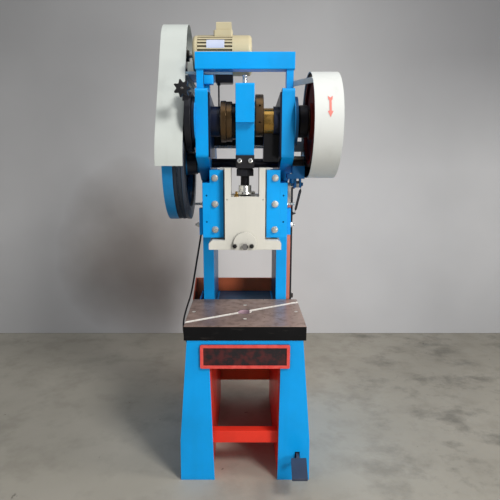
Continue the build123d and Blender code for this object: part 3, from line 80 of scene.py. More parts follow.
class Graph:
    """A material's node tree, built call by call."""

    def __init__(self, name):
        self.material = bpy.data.materials.new(name)
        self.material.use_nodes = True
        self.tree = self.material.node_tree
        self.tree.nodes.clear()
        self.out = self.add("ShaderNodeOutputMaterial")
        self.place = self.add("ShaderNodeTexCoord").outputs["Object"]
        self.face = self.add("ShaderNodeNewGeometry").outputs["Normal"]

    def add(self, kind, inputs=None, **settings):
        node = self.tree.nodes.new(kind)
        for key, value in settings.items():
            setattr(node, key, value)
        for key, value in (inputs or {}).items():
            socket = node.inputs[key]
            if isinstance(value, bpy.types.NodeSocket):
                self.tree.links.new(value, socket)
            else:
                socket.default_value = value
        return node

    def math(self, kind, a, b=0.0, c=0.0, clamp=False):
        return self.add("ShaderNodeMath", {0: a, 1: b, 2: c}, operation=kind, use_clamp=clamp).outputs[0]

    def mix(self, share, a, b, blend="MIX"):
        node = self.add("ShaderNodeMix", {0: share, 6: a, 7: b}, data_type="RGBA", blend_type=blend)
        return node.outputs[2]

    def ramp(self, value, low, high, start=0.0, end=1.0):
        node = self.add("ShaderNodeMapRange", {0: value, 1: low, 2: high, 3: start, 4: end})
        return node.outputs[0]

    def noise(self, scale, detail=3.0, stretch=(1, 1, 1), shift=(0, 0, 0), rough=0.5):
        place = self.add("ShaderNodeMapping", {"Vector": self.place, "Scale": stretch, "Location": shift})
        node = self.add(
            "ShaderNodeTexNoise",
            {"Vector": place.outputs[0], "Scale": scale, "Detail": detail, "Roughness": rough},
        )
        return node.outputs[0]

    def axes(self):
        node = self.add("ShaderNodeSeparateXYZ", {0: self.place})
        return node.outputs[0], node.outputs[1], node.outputs[2]

    def facing(self):
        node = self.add("ShaderNodeSeparateXYZ", {0: self.face})
        return node.outputs[0], node.outputs[1], node.outputs[2]

    def band(self, value, low, high, soft=0.0004):
        """One between two limits of a value, zero outside."""
        rise = self.ramp(value, low - soft, low + soft)
        fall = self.ramp(value, high - soft, high + soft, 1.0, 0.0)
        return self.math("MULTIPLY", rise, fall)

    def radius(self, y, z):
        """Distance from an axis along X through y, z."""
        _, py, pz = self.axes()
        dy = self.math("SUBTRACT", py, y)
        dz = self.math("SUBTRACT", pz, z)
        return self.math("SQRT", self.math("ADD", self.math("POWER", dy, 2.0), self.math("POWER", dz, 2.0)))

    def within(self, low, high, soft=0.0006):
        """One inside a box given by two corners; None leaves an axis open."""
        mask = None
        for value, a, b in zip(self.axes(), low, high):
            if a is None:
                continue
            part = self.band(value, a, b, soft)
            mask = part if mask is None else self.math("MULTIPLY", mask, part)
        return mask

    def edges(self, radius, low=0.03, high=0.30):
        """The rounded normal and a mask that is one on edges."""
        bevel = self.add("ShaderNodeBevel", {"Radius": radius}, samples=4).outputs[0]
        dot = self.add("ShaderNodeVectorMath", {0: bevel, 1: self.face},
                       operation="DOT_PRODUCT").outputs["Value"]
        return bevel, self.ramp(self.math("SUBTRACT", 1.0, dot), low, high)

    def hollows(self, distance, low=0.25, high=0.85):
        """One deep in corners and zero in the open."""
        shade = self.add("ShaderNodeAmbientOcclusion", {"Distance": distance}, samples=4).outputs["AO"]
        return self.ramp(shade, low, high, 1.0, 0.0)

    def bump(self, height, strength, distance, normal=None):
        inputs = {"Height": height, "Strength": strength, "Distance": distance}
        if normal is not None:
            inputs["Normal"] = normal
        return self.add("ShaderNodeBump", inputs).outputs[0]

    def shade(self, colour, rough, metal=0.0, normal=None, coat=0.0, coat_rough=0.08, specular=0.5):
        inputs = {
            "Base Color": colour, "Roughness": rough, "Metallic": metal,
            "Coat Weight": coat, "Coat Roughness": coat_rough, "Specular IOR Level": specular,
        }
        if normal is not None:
            inputs["Normal"] = normal
        shader = self.add("ShaderNodeBsdfPrincipled", inputs)
        self.tree.links.new(shader.outputs[0], self.out.inputs[0])
        return self.material


def scaled(colour, factor):
    return (colour[0] * factor, colour[1] * factor, colour[2] * factor, 1.0)


def enamel(name, colour, rough=0.34, coat=0.25, mottle=0.10, wear=0.35, worn=None, grime_and_shade=0.55,
           grease_and_shade=None, edge=0.0016, peel=0.10, zones=()):
    """Machine enamel with worn edges, painted highlights along its edges, soiling and painted shade in its
    corners and a slight orange peel; zones lay other colours: other paints, painted shade and painted
    highlights.
    """
    graph = Graph(name)
    worn = worn or scaled(colour, 0.45)
    grease_and_shade = grease_and_shade or srgb(34, 30, 28)
    broad = graph.noise(5.0, 4.0)
    patchy = graph.noise(28.0, 5.0, shift=(3, 1, 2))
    runs = graph.noise(22.0, 3.0, stretch=(1.0, 1.0, 0.12), shift=(9, 4, 0))
    body = graph.mix(graph.ramp(broad, 0.3, 0.7), scaled(colour, 1.0 - mottle), scaled(colour, 1.0 + mottle))
    body = graph.mix(graph.math("MULTIPLY", graph.ramp(runs, 0.52, 0.72), 0.16), body, scaled(colour, 0.72))
    normal, rim = graph.edges(edge)
    chips = graph.math("MULTIPLY", rim, graph.ramp(patchy, 0.52, 0.60))
    # Painted highlight: edges lighter than the paint.
    body = graph.mix(graph.math("MULTIPLY", rim, 0.22), body, scaled(colour, 1.35))
    for mask, paint in zones:
        body = graph.mix(mask(graph), body, paint)
    body = graph.mix(graph.math("MULTIPLY", chips, wear), body, worn)
    # Soiling and painted shade: corners and hollows darken towards a dark brown.
    in_hollows = graph.math("MULTIPLY", graph.hollows(0.030), graph.ramp(patchy, 0.25, 0.75, 0.35, 1.0))
    body = graph.mix(graph.math("MULTIPLY", in_hollows, grime_and_shade), body, grease_and_shade)
    specks = graph.noise(160.0, 2.0, shift=(2, 7, 5))
    body = graph.mix(graph.math("MULTIPLY", graph.ramp(specks, 0.70, 0.78), 0.25), body, grease_and_shade)
    gloss = graph.math("ADD", graph.ramp(patchy, 0.2, 0.8, rough - 0.07, rough + 0.10),
                       graph.math("MULTIPLY", in_hollows, 0.2))
    skin = graph.noise(700.0, 2.0)
    waves = graph.noise(60.0, 2.0)
    height = graph.math("ADD", skin, graph.math("MULTIPLY", waves, 1.5))
    return graph.shade(body, gloss, 0.0, graph.bump(height, peel, 0.0006, normal), coat, specular=0.28)


def metal(name, colour, rough=0.32, stain=None, stained=0.5, streak=(1, 1, 1), streaks=0.12, edge=0.0010,
          grime_and_shade=0.6, metallic=1.0, bright=1.5, scratch=0.12, zones=()):
    """Machined metal with tool streaks, stains and rubbed edges."""
    graph = Graph(name)
    stain = stain or srgb(52, 44, 36)
    tool = graph.noise(420.0, 3.0, stretch=streak, shift=(1, 5, 3))
    cloud = graph.noise(16.0, 5.0, shift=(6, 2, 8), rough=0.6)
    fine = graph.noise(95.0, 4.0, shift=(4, 4, 1), rough=0.65)
    body = graph.mix(graph.ramp(tool, 0.35, 0.65), scaled(colour, 1.0 - streaks),
                     scaled(colour, 1.0 + streaks))
    film = graph.math("MULTIPLY", graph.ramp(cloud, 0.42, 0.68), graph.ramp(fine, 0.30, 0.62, 0.45, 1.0))
    body = graph.mix(graph.math("MULTIPLY", film, stained), body, stain)
    normal, rim = graph.edges(edge)
    body = graph.mix(graph.math("MULTIPLY", rim, 0.7), body, scaled(colour, bright))
    for mask, paint in zones:
        body = graph.mix(mask(graph), body, paint)
    # Soiling and painted shade: hollows darken towards near-black.
    in_hollows = graph.math("MULTIPLY", graph.hollows(0.014), graph.ramp(fine, 0.2, 0.7, 0.5, 1.0))
    body = graph.mix(graph.math("MULTIPLY", in_hollows, grime_and_shade), body, srgb(22, 19, 17))
    gloss = graph.ramp(graph.math("ADD", film, graph.math("MULTIPLY", fine, 0.4)), 0.1, 1.2, rough - 0.06,
                       rough + 0.22)
    shine = graph.ramp(graph.math("ADD", in_hollows, graph.math("MULTIPLY", film, stained)), 0.0, 1.3, metallic,
                       metallic * 0.35)
    height = graph.math("ADD", tool, graph.math("MULTIPLY", fine, 0.6))
    return graph.shade(body, gloss, shine, graph.bump(height, scratch, 0.0003, normal))


def moulded(name, colour, rough=0.5, grain=500.0, depth=0.12, dust=0.25):
    """Moulded plastic or rubber with a fine grain and dust in its hollows."""
    graph = Graph(name)
    cloud = graph.noise(30.0, 4.0)
    body = graph.mix(graph.ramp(cloud, 0.3, 0.7), scaled(colour, 0.85), scaled(colour, 1.2))
    normal, rim = graph.edges(0.0012)
    # Painted highlight: edges lighter than the moulding.
    body = graph.mix(graph.math("MULTIPLY", rim, 0.3), body, scaled(colour, 2.0))
    in_hollows = graph.math("MULTIPLY", graph.hollows(0.012), graph.ramp(cloud, 0.2, 0.7))
    body = graph.mix(graph.math("MULTIPLY", in_hollows, dust), body, srgb(96, 90, 82))
    gloss = graph.ramp(cloud, 0.2, 0.8, rough - 0.05, rough + 0.08)
    return graph.shade(body, gloss, 0.0, graph.bump(graph.noise(grain, 2.0), depth, 0.0004, normal))


BLUE = srgb(0, 168, 250)
# Navy, used as painted shade on the blue enamel.
SHADE_NAVY = srgb(8, 20, 46)


def blue_enamel(name, zones=()):
    return enamel(name, BLUE, rough=0.40, coat=0.05, worn=srgb(8, 84, 140), grime_and_shade=0.6, zones=zones)


def box_zone(low, high, paint):
    """A colour inside a box that is given by two corners; used for paints, painted shade and painted
    highlights.
    """
    return (lambda graph: graph.within(low, high)), paint


blue = blue_enamel("blue_enamel")
# Painted shade on the left head: navy between the cheeks and outside the hub, a darker blue on faces that
# face +X.
blue_left = blue_enamel("blue_enamel_left_head", zones=(
    box_zone((-0.1264, None, 0.550), (0.0, None, 0.830), SHADE_NAVY),
    box_zone((-0.300, None, 0.550), (-0.1725, None, 0.830), SHADE_NAVY),
    (lambda g: g.ramp(g.facing()[0], 0.5, 0.8, 0.0, 0.55), srgb(4, 70, 124)),
))
# Painted shade on the right head: navy between the cheeks, near-black under the bush and on the web behind
# the collars, dark navy on faces that face -X, a darker blue outside the hub. A greyer blue lies on the bed
# behind the columns.
right_head_blue_shaded = blue_enamel("blue_enamel_right_head", zones=(
    box_zone((0.0, None, 0.550), (0.1264, None, 0.830), SHADE_NAVY),
    box_zone((0.0, -0.03, 0.550), (0.1196, 0.070, 0.690), srgb(8, 8, 12)),
    box_zone((-0.1196, 0.140, 0.600), (0.1196, 0.175, 0.700), srgb(8, 9, 14)),
    (lambda g: g.ramp(g.facing()[0], -0.5, -0.8, 0.0, 0.9), srgb(6, 34, 66)),
    box_zone((0.1720, None, 0.550), (0.300, None, 0.830), srgb(4, 92, 146)),
    box_zone((-0.1190, 0.170, -0.120), (0.1190, 0.600, 0.020), srgb(44, 92, 122)),
))
side_blue = blue_enamel("stand_side_enamel", zones=(
    (lambda g: g.math("MULTIPLY", g.within((-0.2372, 0.330, -0.450), (-0.2290, 0.495, 0.020)),
                      g.ramp(g.facing()[0], -0.6, -0.4)), srgb(240, 88, 48)),
))
# Painted highlight: the front edge of the motor plate is pale blue.
plate_blue = blue_enamel("motor_plate_enamel", zones=(
    box_zone((None, 0.030, 0.860), (None, 0.0366, 0.885), srgb(196, 228, 244)),
))
# Painted shade: the trip bracket's blue is a darker copy of the frame blue.
bracket_blue = enamel("bracket_blue_enamel", srgb(6, 100, 160), rough=0.42, coat=0.05, worn=srgb(16, 40, 64),
                      grime_and_shade=0.7)
red = enamel("red_enamel", srgb(246, 62, 44), rough=0.38, coat=0.15, worn=srgb(120, 34, 26), grime_and_shade=0.7,
             mottle=0.16)
# Painted light: the rear plate's red is paler and brighter than the red enamel.
rear_red = enamel("rear_red_enamel", srgb(255, 132, 84), rough=0.45, coat=0.1, worn=srgb(110, 44, 34),
                  grime_and_shade=0.35, mottle=0.20)
beige = enamel("beige_enamel", srgb(208, 196, 160), rough=0.42, coat=0.12, worn=srgb(140, 124, 92), grime_and_shade=0.7,
               mottle=0.06)
ram_grey = enamel("ram_enamel", srgb(226, 224, 214), rough=0.38, coat=0.15, worn=srgb(120, 114, 104),
                  grime_and_shade=0.65, mottle=0.05)
charcoal = enamel("charcoal_enamel", srgb(38, 37, 41), rough=0.40, coat=0.15, worn=srgb(100, 96, 92),
                  wear=0.5, grime_and_shade=0.5, mottle=0.15)
pedal_grey = enamel("pedal_enamel", srgb(64, 70, 88), rough=0.42, coat=0.1, worn=srgb(130, 126, 120),
                    wear=0.6, grime_and_shade=0.6, mottle=0.15)
crank_steel = metal("crank_steel", srgb(190, 188, 182), rough=0.28, stained=0.35, streak=(6, 1, 1), zones=(
    (lambda g: g.band(g.axes()[0], -0.0456, -0.0325), srgb(34, 32, 32)),
))
guide_eye = metal("guide_eye", srgb(58, 56, 56), rough=0.36, stained=0.4, metallic=0.5, zones=(
    (lambda g: g.within((0.166, 0.160, -0.02), (0.1855, 0.180, 0.400)), srgb(232, 142, 122)),
    (lambda g: g.within((0.166, 0.160, 0.400), (0.1855, 0.180, 0.500)), srgb(216, 204, 190)),
))
steel = metal("machined_steel", srgb(190, 188, 182), rough=0.28, stained=0.35, streak=(6, 1, 1))
bright_steel = metal("bright_steel", srgb(246, 246, 243), rough=0.20, stained=0.08, grime_and_shade=0.30, metallic=0.8)
cap_steel = metal("cap_screw_steel", srgb(30, 30, 33), rough=0.45, stained=0.3, metallic=0.3, bright=1.2,
                  zones=(
    (lambda g: g.band(g.axes()[0], -0.0190, 0.0070), srgb(122, 120, 118)),
))
zinc = metal("zinc_plated", srgb(232, 231, 224), rough=0.30, stained=0.16, stain=srgb(120, 112, 96),
             grime_and_shade=0.5, metallic=0.75)
dark_drum = metal("dark_drum", srgb(36, 36, 42), rough=0.40, stained=0.4, stain=srgb(22, 22, 27), grime_and_shade=0.7,
                  metallic=0.5)
dark_steel = metal("dark_steel", srgb(92, 86, 80), rough=0.36, stained=0.6, grime_and_shade=0.7, metallic=0.85)
black_steel = metal("black_steel", srgb(44, 44, 50), rough=0.38, stained=0.4, stain=srgb(26, 26, 30),
                    grime_and_shade=0.7, metallic=0.6)
bronze = metal("aged_bronze", srgb(104, 82, 56), rough=0.34, stain=srgb(70, 54, 40), stained=0.65, bright=1.6,
               streak=(5, 1, 1))
brass = metal("bright_brass", srgb(178, 140, 74), rough=0.24, stain=srgb(98, 72, 40), stained=0.4,
              streak=(5, 1, 1))
belt_rubber = moulded("belt_rubber", srgb(30, 42, 56), rough=0.62, grain=320.0, dust=0.35)
black_plastic = moulded("black_plastic", srgb(24, 24, 27), rough=0.36, dust=0.2)
cable_skin = moulded("cable_skin", srgb(22, 22, 24), rough=0.46, grain=600.0, dust=0.15)
badge_white = enamel("badge_white", srgb(202, 210, 232), rough=0.3, coat=0.2, grime_and_shade=0.2, mottle=0.02)


def bolster_material():
    """Oily ground top, lighter towards +X as painted light, with a tee slot of bare steel painted near-white
    as a painted highlight, and black painted sides.
    """
    graph = Graph("bolster_steel")
    px, py, pz = graph.axes()
    top = graph.ramp(pz, -0.0016, -0.0008)
    angle = math.atan2(245.0, 430.0)
    across = graph.math("ADD", graph.math("MULTIPLY", px, -math.sin(angle)),
                        graph.math("MULTIPLY", py, math.cos(angle)))
    gap = graph.math("ABSOLUTE", across)
    slot = graph.math("MULTIPLY", graph.ramp(gap, 0.0084, 0.0092, 1.0, 0.0), graph.ramp(pz, -0.0150, -0.0140))
    ground = graph.noise(300.0, 3.0, stretch=(0.06, 1.0, 1.0), shift=(2, 0, 0))
    cloud = graph.noise(9.0, 6.0, shift=(1, 8, 3), rough=0.62)
    blot = graph.noise(34.0, 5.0, shift=(5, 3, 1), rough=0.6)
    plate = graph.mix(graph.ramp(cloud, 0.35, 0.66), srgb(168, 140, 128), srgb(122, 98, 90))
    # Painted light: the top lighter towards +X.
    plate = graph.mix(graph.ramp(px, -0.02, 0.21, 0.0, 0.5), plate, srgb(206, 182, 170))
    plate = graph.mix(graph.math("MULTIPLY", graph.ramp(blot, 0.50, 0.70), 0.55), plate, srgb(84, 68, 60))
    plate = graph.mix(graph.math("MULTIPLY", graph.ramp(ground, 0.55, 0.75), 0.25), plate,
                      srgb(160, 142, 128))
    from_hole = graph.math("SQRT", graph.math("ADD", graph.math("POWER", px, 2.0),
                                              graph.math("POWER", py, 2.0)))
    hole = graph.ramp(from_hole, 0.026, 0.034, 1.0, 0.0)
    plate = graph.mix(graph.math("MULTIPLY", hole, 0.6), plate, srgb(50, 42, 40))
    sides = graph.mix(graph.ramp(cloud, 0.4, 0.7), srgb(6, 6, 9), srgb(14, 14, 17))
    scuff = graph.noise(60.0, 4.0, stretch=(0.25, 0.25, 1.4), shift=(8, 2, 2))
    sides = graph.mix(graph.math("MULTIPLY", graph.ramp(scuff, 0.64, 0.80), 0.22), sides, srgb(104, 98, 92))
    sides = graph.mix(graph.ramp(from_hole, 0.0345, 0.0360, 1.0, 0.0), sides, srgb(188, 160, 172))
    body = graph.mix(top, sides, plate)
    normal, rim = graph.edges(0.0016)
    body = graph.mix(graph.math("MULTIPLY", rim, 0.45), body, srgb(150, 138, 126))
    # Bare steel in the tee slot, painted near-white, partly a painted highlight.
    body = graph.mix(slot, body, srgb(244, 240, 234))
    slot_dirt = graph.math("MULTIPLY", slot, graph.ramp(blot, 0.52, 0.72))
    body = graph.mix(graph.math("MULTIPLY", slot_dirt, 0.5), body, srgb(150, 132, 118))
    gloss = graph.mix(top, (0.45, 0.45, 0.45, 1.0), graph.ramp(blot, 0.3, 0.7, 0.26, 0.48))
    shine = graph.math("MULTIPLY", graph.math("SUBTRACT", top, slot, clamp=True),
                       graph.ramp(cloud, 0.3, 0.7, 0.50, 0.28))
    height = graph.math("ADD", ground, graph.math("MULTIPLY", blot, 0.7))
    return graph.shade(body, gloss, shine, graph.bump(height, 0.12, 0.0004, normal), specular=0.22)


def nameplate_material():
    """Raised red frame round a bare near-black field."""
    graph = Graph("nameplate_enamel")
    _, py, _ = graph.axes()
    field = graph.ramp(py, -0.1686, -0.1676)
    cloud = graph.noise(40.0, 5.0)
    fine = graph.noise(150.0, 4.0, shift=(3, 3, 3))
    border = graph.mix(graph.ramp(cloud, 0.3, 0.7), srgb(224, 66, 60), srgb(246, 98, 90))
    inner = graph.mix(graph.ramp(cloud, 0.42, 0.62), srgb(26, 18, 26), srgb(78, 24, 28))
    inner = graph.mix(graph.math("MULTIPLY", graph.ramp(fine, 0.56, 0.70), 0.4), inner, srgb(92, 34, 34))
    body = graph.mix(field, border, inner)
    normal, rim = graph.edges(0.0016)
    body = graph.mix(graph.math("MULTIPLY", rim, graph.ramp(fine, 0.4, 0.6, 0.0, 0.5)), body,
                     srgb(92, 28, 26))
    return graph.shade(body, graph.ramp(fine, 0.3, 0.7, 0.34, 0.5), 0.0,
                       graph.bump(graph.math("ADD", fine, cloud), 0.22, 0.0008, normal), 0.15)


def flywheel_material():
    """Blue rim, dark machined grooves and grey faces; the darker blue, the dark right land, the near-black
    right face and the darkened hollows are painted shade.
    """
    graph = Graph("flywheel_paint")
    r = graph.radius(*BACK_SHAFT_AXIS)
    px, _, _ = graph.axes()
    nx, _, _ = graph.facing()
    flat = graph.ramp(graph.math("ABSOLUTE", nx), 0.55, 0.75)
    grooves = graph.math("MULTIPLY", graph.band(px, -0.2518, -0.2202), graph.ramp(r, 0.2030, 0.2050))
    cloud = graph.noise(14.0, 5.0)
    fine = graph.noise(90.0, 4.0, shift=(5, 1, 4))
    # Painted shade: the rim's blue is a darker copy of the frame blue, and its right land is dark grey.
    rim_blue = graph.mix(graph.ramp(cloud, 0.3, 0.7), scaled(BLUE, 0.50), scaled(BLUE, 0.66))
    rim_blue = graph.mix(graph.ramp(px, -0.2210, -0.2195), rim_blue, srgb(58, 66, 80))
    grey = graph.mix(graph.ramp(cloud, 0.35, 0.65), srgb(84, 88, 96), srgb(120, 122, 126))
    # Painted shade: faces that face +X are near-black.
    right = graph.ramp(nx, 0.5, 0.8)
    face = graph.mix(graph.ramp(r, 0.150, 0.156), scaled(BLUE, 0.80), grey)
    body = graph.mix(flat, rim_blue, graph.mix(right, face, srgb(26, 27, 32)))
    worn = graph.mix(graph.ramp(fine, 0.35, 0.65), srgb(34, 48, 66), srgb(62, 82, 102))
    body = graph.mix(grooves, body, worn)
    normal, edge = graph.edges(0.002)
    body = graph.mix(graph.math("MULTIPLY", edge, graph.ramp(fine, 0.45, 0.6, 0.1, 0.6)), body,
                     srgb(120, 120, 122))
    # Painted shade: hollows darkened.
    in_hollows = graph.math("MULTIPLY", graph.hollows(0.03), 0.6)
    body = graph.mix(in_hollows, body, srgb(28, 26, 26))
    return graph.shade(body, graph.ramp(fine, 0.2, 0.8, 0.30, 0.46), graph.math("MULTIPLY", grooves, 0.8),
                       graph.bump(fine, 0.10, 0.0005, normal), 0.15)


def gear_material():
    """Dark red web and rim, with greasy bare teeth."""
    graph = Graph("gear_paint")
    r = graph.radius(*CRANK_AXIS)
    teeth = graph.ramp(r, 0.1490, 0.1505)
    cloud = graph.noise(18.0, 5.0)
    fine = graph.noise(80.0, 4.0, shift=(1, 2, 9))
    web = graph.mix(graph.ramp(cloud, 0.3, 0.7), srgb(96, 24, 22), srgb(134, 36, 30))
    bare = graph.mix(graph.ramp(fine, 0.35, 0.65), srgb(66, 50, 44), srgb(118, 104, 92))
    body = graph.mix(teeth, web, bare)
    normal, edge = graph.edges(0.0012)
    body = graph.mix(graph.math("MULTIPLY", edge, 0.35), body, srgb(170, 120, 104))
    # Painted shade: hollows darkened towards near-black.
    body = graph.mix(graph.math("MULTIPLY", graph.hollows(0.02), 0.7), body, srgb(30, 22, 20))
    return graph.shade(body, graph.ramp(fine, 0.2, 0.8, 0.55, 0.70), graph.math("MULTIPLY", teeth, 0.4),
                       graph.bump(fine, 0.12, 0.0005, normal), specular=0.06)


def guard_material(name, inside, inner_mask, run_share, colour):
    """Cream sheet outside; the inner side takes a darker colour as painted shade."""
    graph = Graph(name)
    cloud = graph.noise(4.0, 4.0)
    patchy = graph.noise(30.0, 5.0, shift=(2, 6, 1))
    outer = graph.mix(graph.ramp(cloud, 0.3, 0.7), scaled(colour, 0.95), scaled(colour, 1.03))
    normal, rim = graph.edges(0.0012)
    chips = graph.math("MULTIPLY", rim, graph.ramp(patchy, 0.50, 0.60, 0.1, 0.7))
    outer = graph.mix(chips, outer, srgb(120, 116, 108))
    # Painted shade: hollows darkened.
    outer = graph.mix(graph.math("MULTIPLY", graph.hollows(0.03), 0.45), outer, srgb(70, 64, 56))
    # Painted shade: the inner side takes the darker colour given as inside.
    inner = graph.mix(graph.ramp(patchy, 0.3, 0.7), scaled(inside, 0.8), scaled(inside, 1.15))
    body = graph.mix(inner_mask(graph), outer, inner)
    runs = graph.noise(26.0, 3.0, stretch=(1.0, 1.0, 0.10), shift=(3, 5, 0))
    body = graph.mix(graph.math("MULTIPLY", graph.ramp(runs, 0.56, 0.74), run_share), body,
                     srgb(150, 148, 138))
    dent = graph.noise(7.0, 1.0, shift=(5, 5, 2))
    height = graph.math("ADD", graph.math("MULTIPLY", dent, 6.0), graph.noise(700.0, 2.0))
    return graph.shade(body, graph.ramp(patchy, 0.2, 0.8, 0.36, 0.50), 0.0,
                       graph.bump(height, 0.10, 0.0010, normal), specular=0.12)


def motor_fin_material():
    """Beige motor, darker between its fins as soiling and painted shade."""
    return enamel("motor_enamel", srgb(206, 194, 160), rough=0.42, coat=0.12, worn=srgb(140, 124, 92),
                  grime_and_shade=0.85, mottle=0.06, grease_and_shade=srgb(52, 44, 34))


look = {
    side_blue: ("stand_sides",),
    blue: ("stand_front", "top_frame", "guide_blocks", "keep_plates", "connecting_rod"),
    blue_left: ("side_plate_left",),
    plate_blue: ("motor_plate",),
    right_head_blue_shaded: ("side_plate_right", "frame_webs"),
    bracket_blue: ("trip_bracket",),
    red: ("stand_inner_sheets", "stand_crossbar"),
    rear_red: ("stand_rear",),
    beige: ("motor_end_shield", "motor_fan_cowl", "terminal_box"),
    ram_grey: ("ram", "tool_cap"),
    charcoal: ("clamp_block", "oiler"),
    pedal_grey: ("pedal",),
    steel: ("tie_rod", "gibs", "motor_rotor", "trip_lever"),
    cap_steel: ("tool_cap_screws",),
    crank_steel: ("crankshaft",),
    guide_eye: ("rod_guide",),
    dark_drum: ("brake_drum", "clutch_body"),
    dark_steel: ("pinion", "motor_pulley", "crank_end_nut"),
    black_steel: ("pull_rod", "brake_band", "back_shaft"),
    bronze: ("stroke_collars", "eccentric_flange", "back_shaft_bushes", "rod_bush", "bull_gear_bush"),
    brass: ("main_bushes",),
    belt_rubber: ("v_belts",),
    black_plastic: ("brake_knob", "cable_fittings"),
    bolster_material(): ("bolster",),
    nameplate_material(): ("nameplate",),
    flywheel_material(): ("flywheel",),
    gear_material(): ("bull_gear",),
    motor_fin_material(): ("motor_body",),
}


def belt_guard_side(graph):
    """One on the inner face of the belt guard."""
    nx, _, _ = graph.facing()
    px, _, _ = graph.axes()
    plate = graph.math("MULTIPLY", graph.ramp(px, -0.3055, -0.3045), graph.ramp(nx, 0.5, 0.7))
    return graph.math("MULTIPLY", plate, graph.math("ABSOLUTE", nx))


def gear_guard_side(graph):
    """One inside the gear guard."""
    px, _, _ = graph.axes()
    r = graph.radius(*GEAR_GUARD_AXIS)
    inside = graph.math("MULTIPLY", graph.ramp(r, 0.1806, 0.1802), graph.ramp(px, 0.3156, 0.3152))
    return graph.math("MULTIPLY", inside, graph.ramp(px, 0.2262, 0.2266))


# The inner colours of both guards are painted shade: grey in the belt guard, dark maroon in the gear guard.
guards = {
    guard_material("belt_guard_enamel", srgb(150, 154, 152), belt_guard_side, 0.10,
                   srgb(212, 218, 213)): ("belt_guard",),
    guard_material("gear_guard_enamel", srgb(62, 16, 15), gear_guard_side, 0.10,
                   srgb(224, 227, 224)): ("gear_guard",),
}

for table in (look, guards):
    for material, names in table.items():
        for name in names:
            data = nodes[name].data
            for index in range(max(1, len(nodes[name].material_slots))):
                if len(nodes[name].material_slots) == 0:
                    data.materials.append(material)
                nodes[name].material_slots[index].material = material


# Shapes
def piece(name, verts, faces, material, body, stands_for=()):
    """A smooth mesh object that rides on a body."""
    mesh = bpy.data.meshes.new(name)
    mesh.from_pydata([tuple(v) for v in verts], [], faces)
    mesh.validate()
    bm = bmesh.new()
    bm.from_mesh(mesh)
    bmesh.ops.recalc_face_normals(bm, faces=bm.faces)
    bm.to_mesh(mesh)
    bm.free()
    mesh.materials.append(material)
    obj = bpy.data.objects.new(name, mesh)
    bpy.context.collection.objects.link(obj)
    mesh.shade_smooth()
    mesh.set_sharp_from_angle(angle=math.radians(32))
    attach(obj, body)
    if stands_for:
        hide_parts(*stands_for)
    return obj


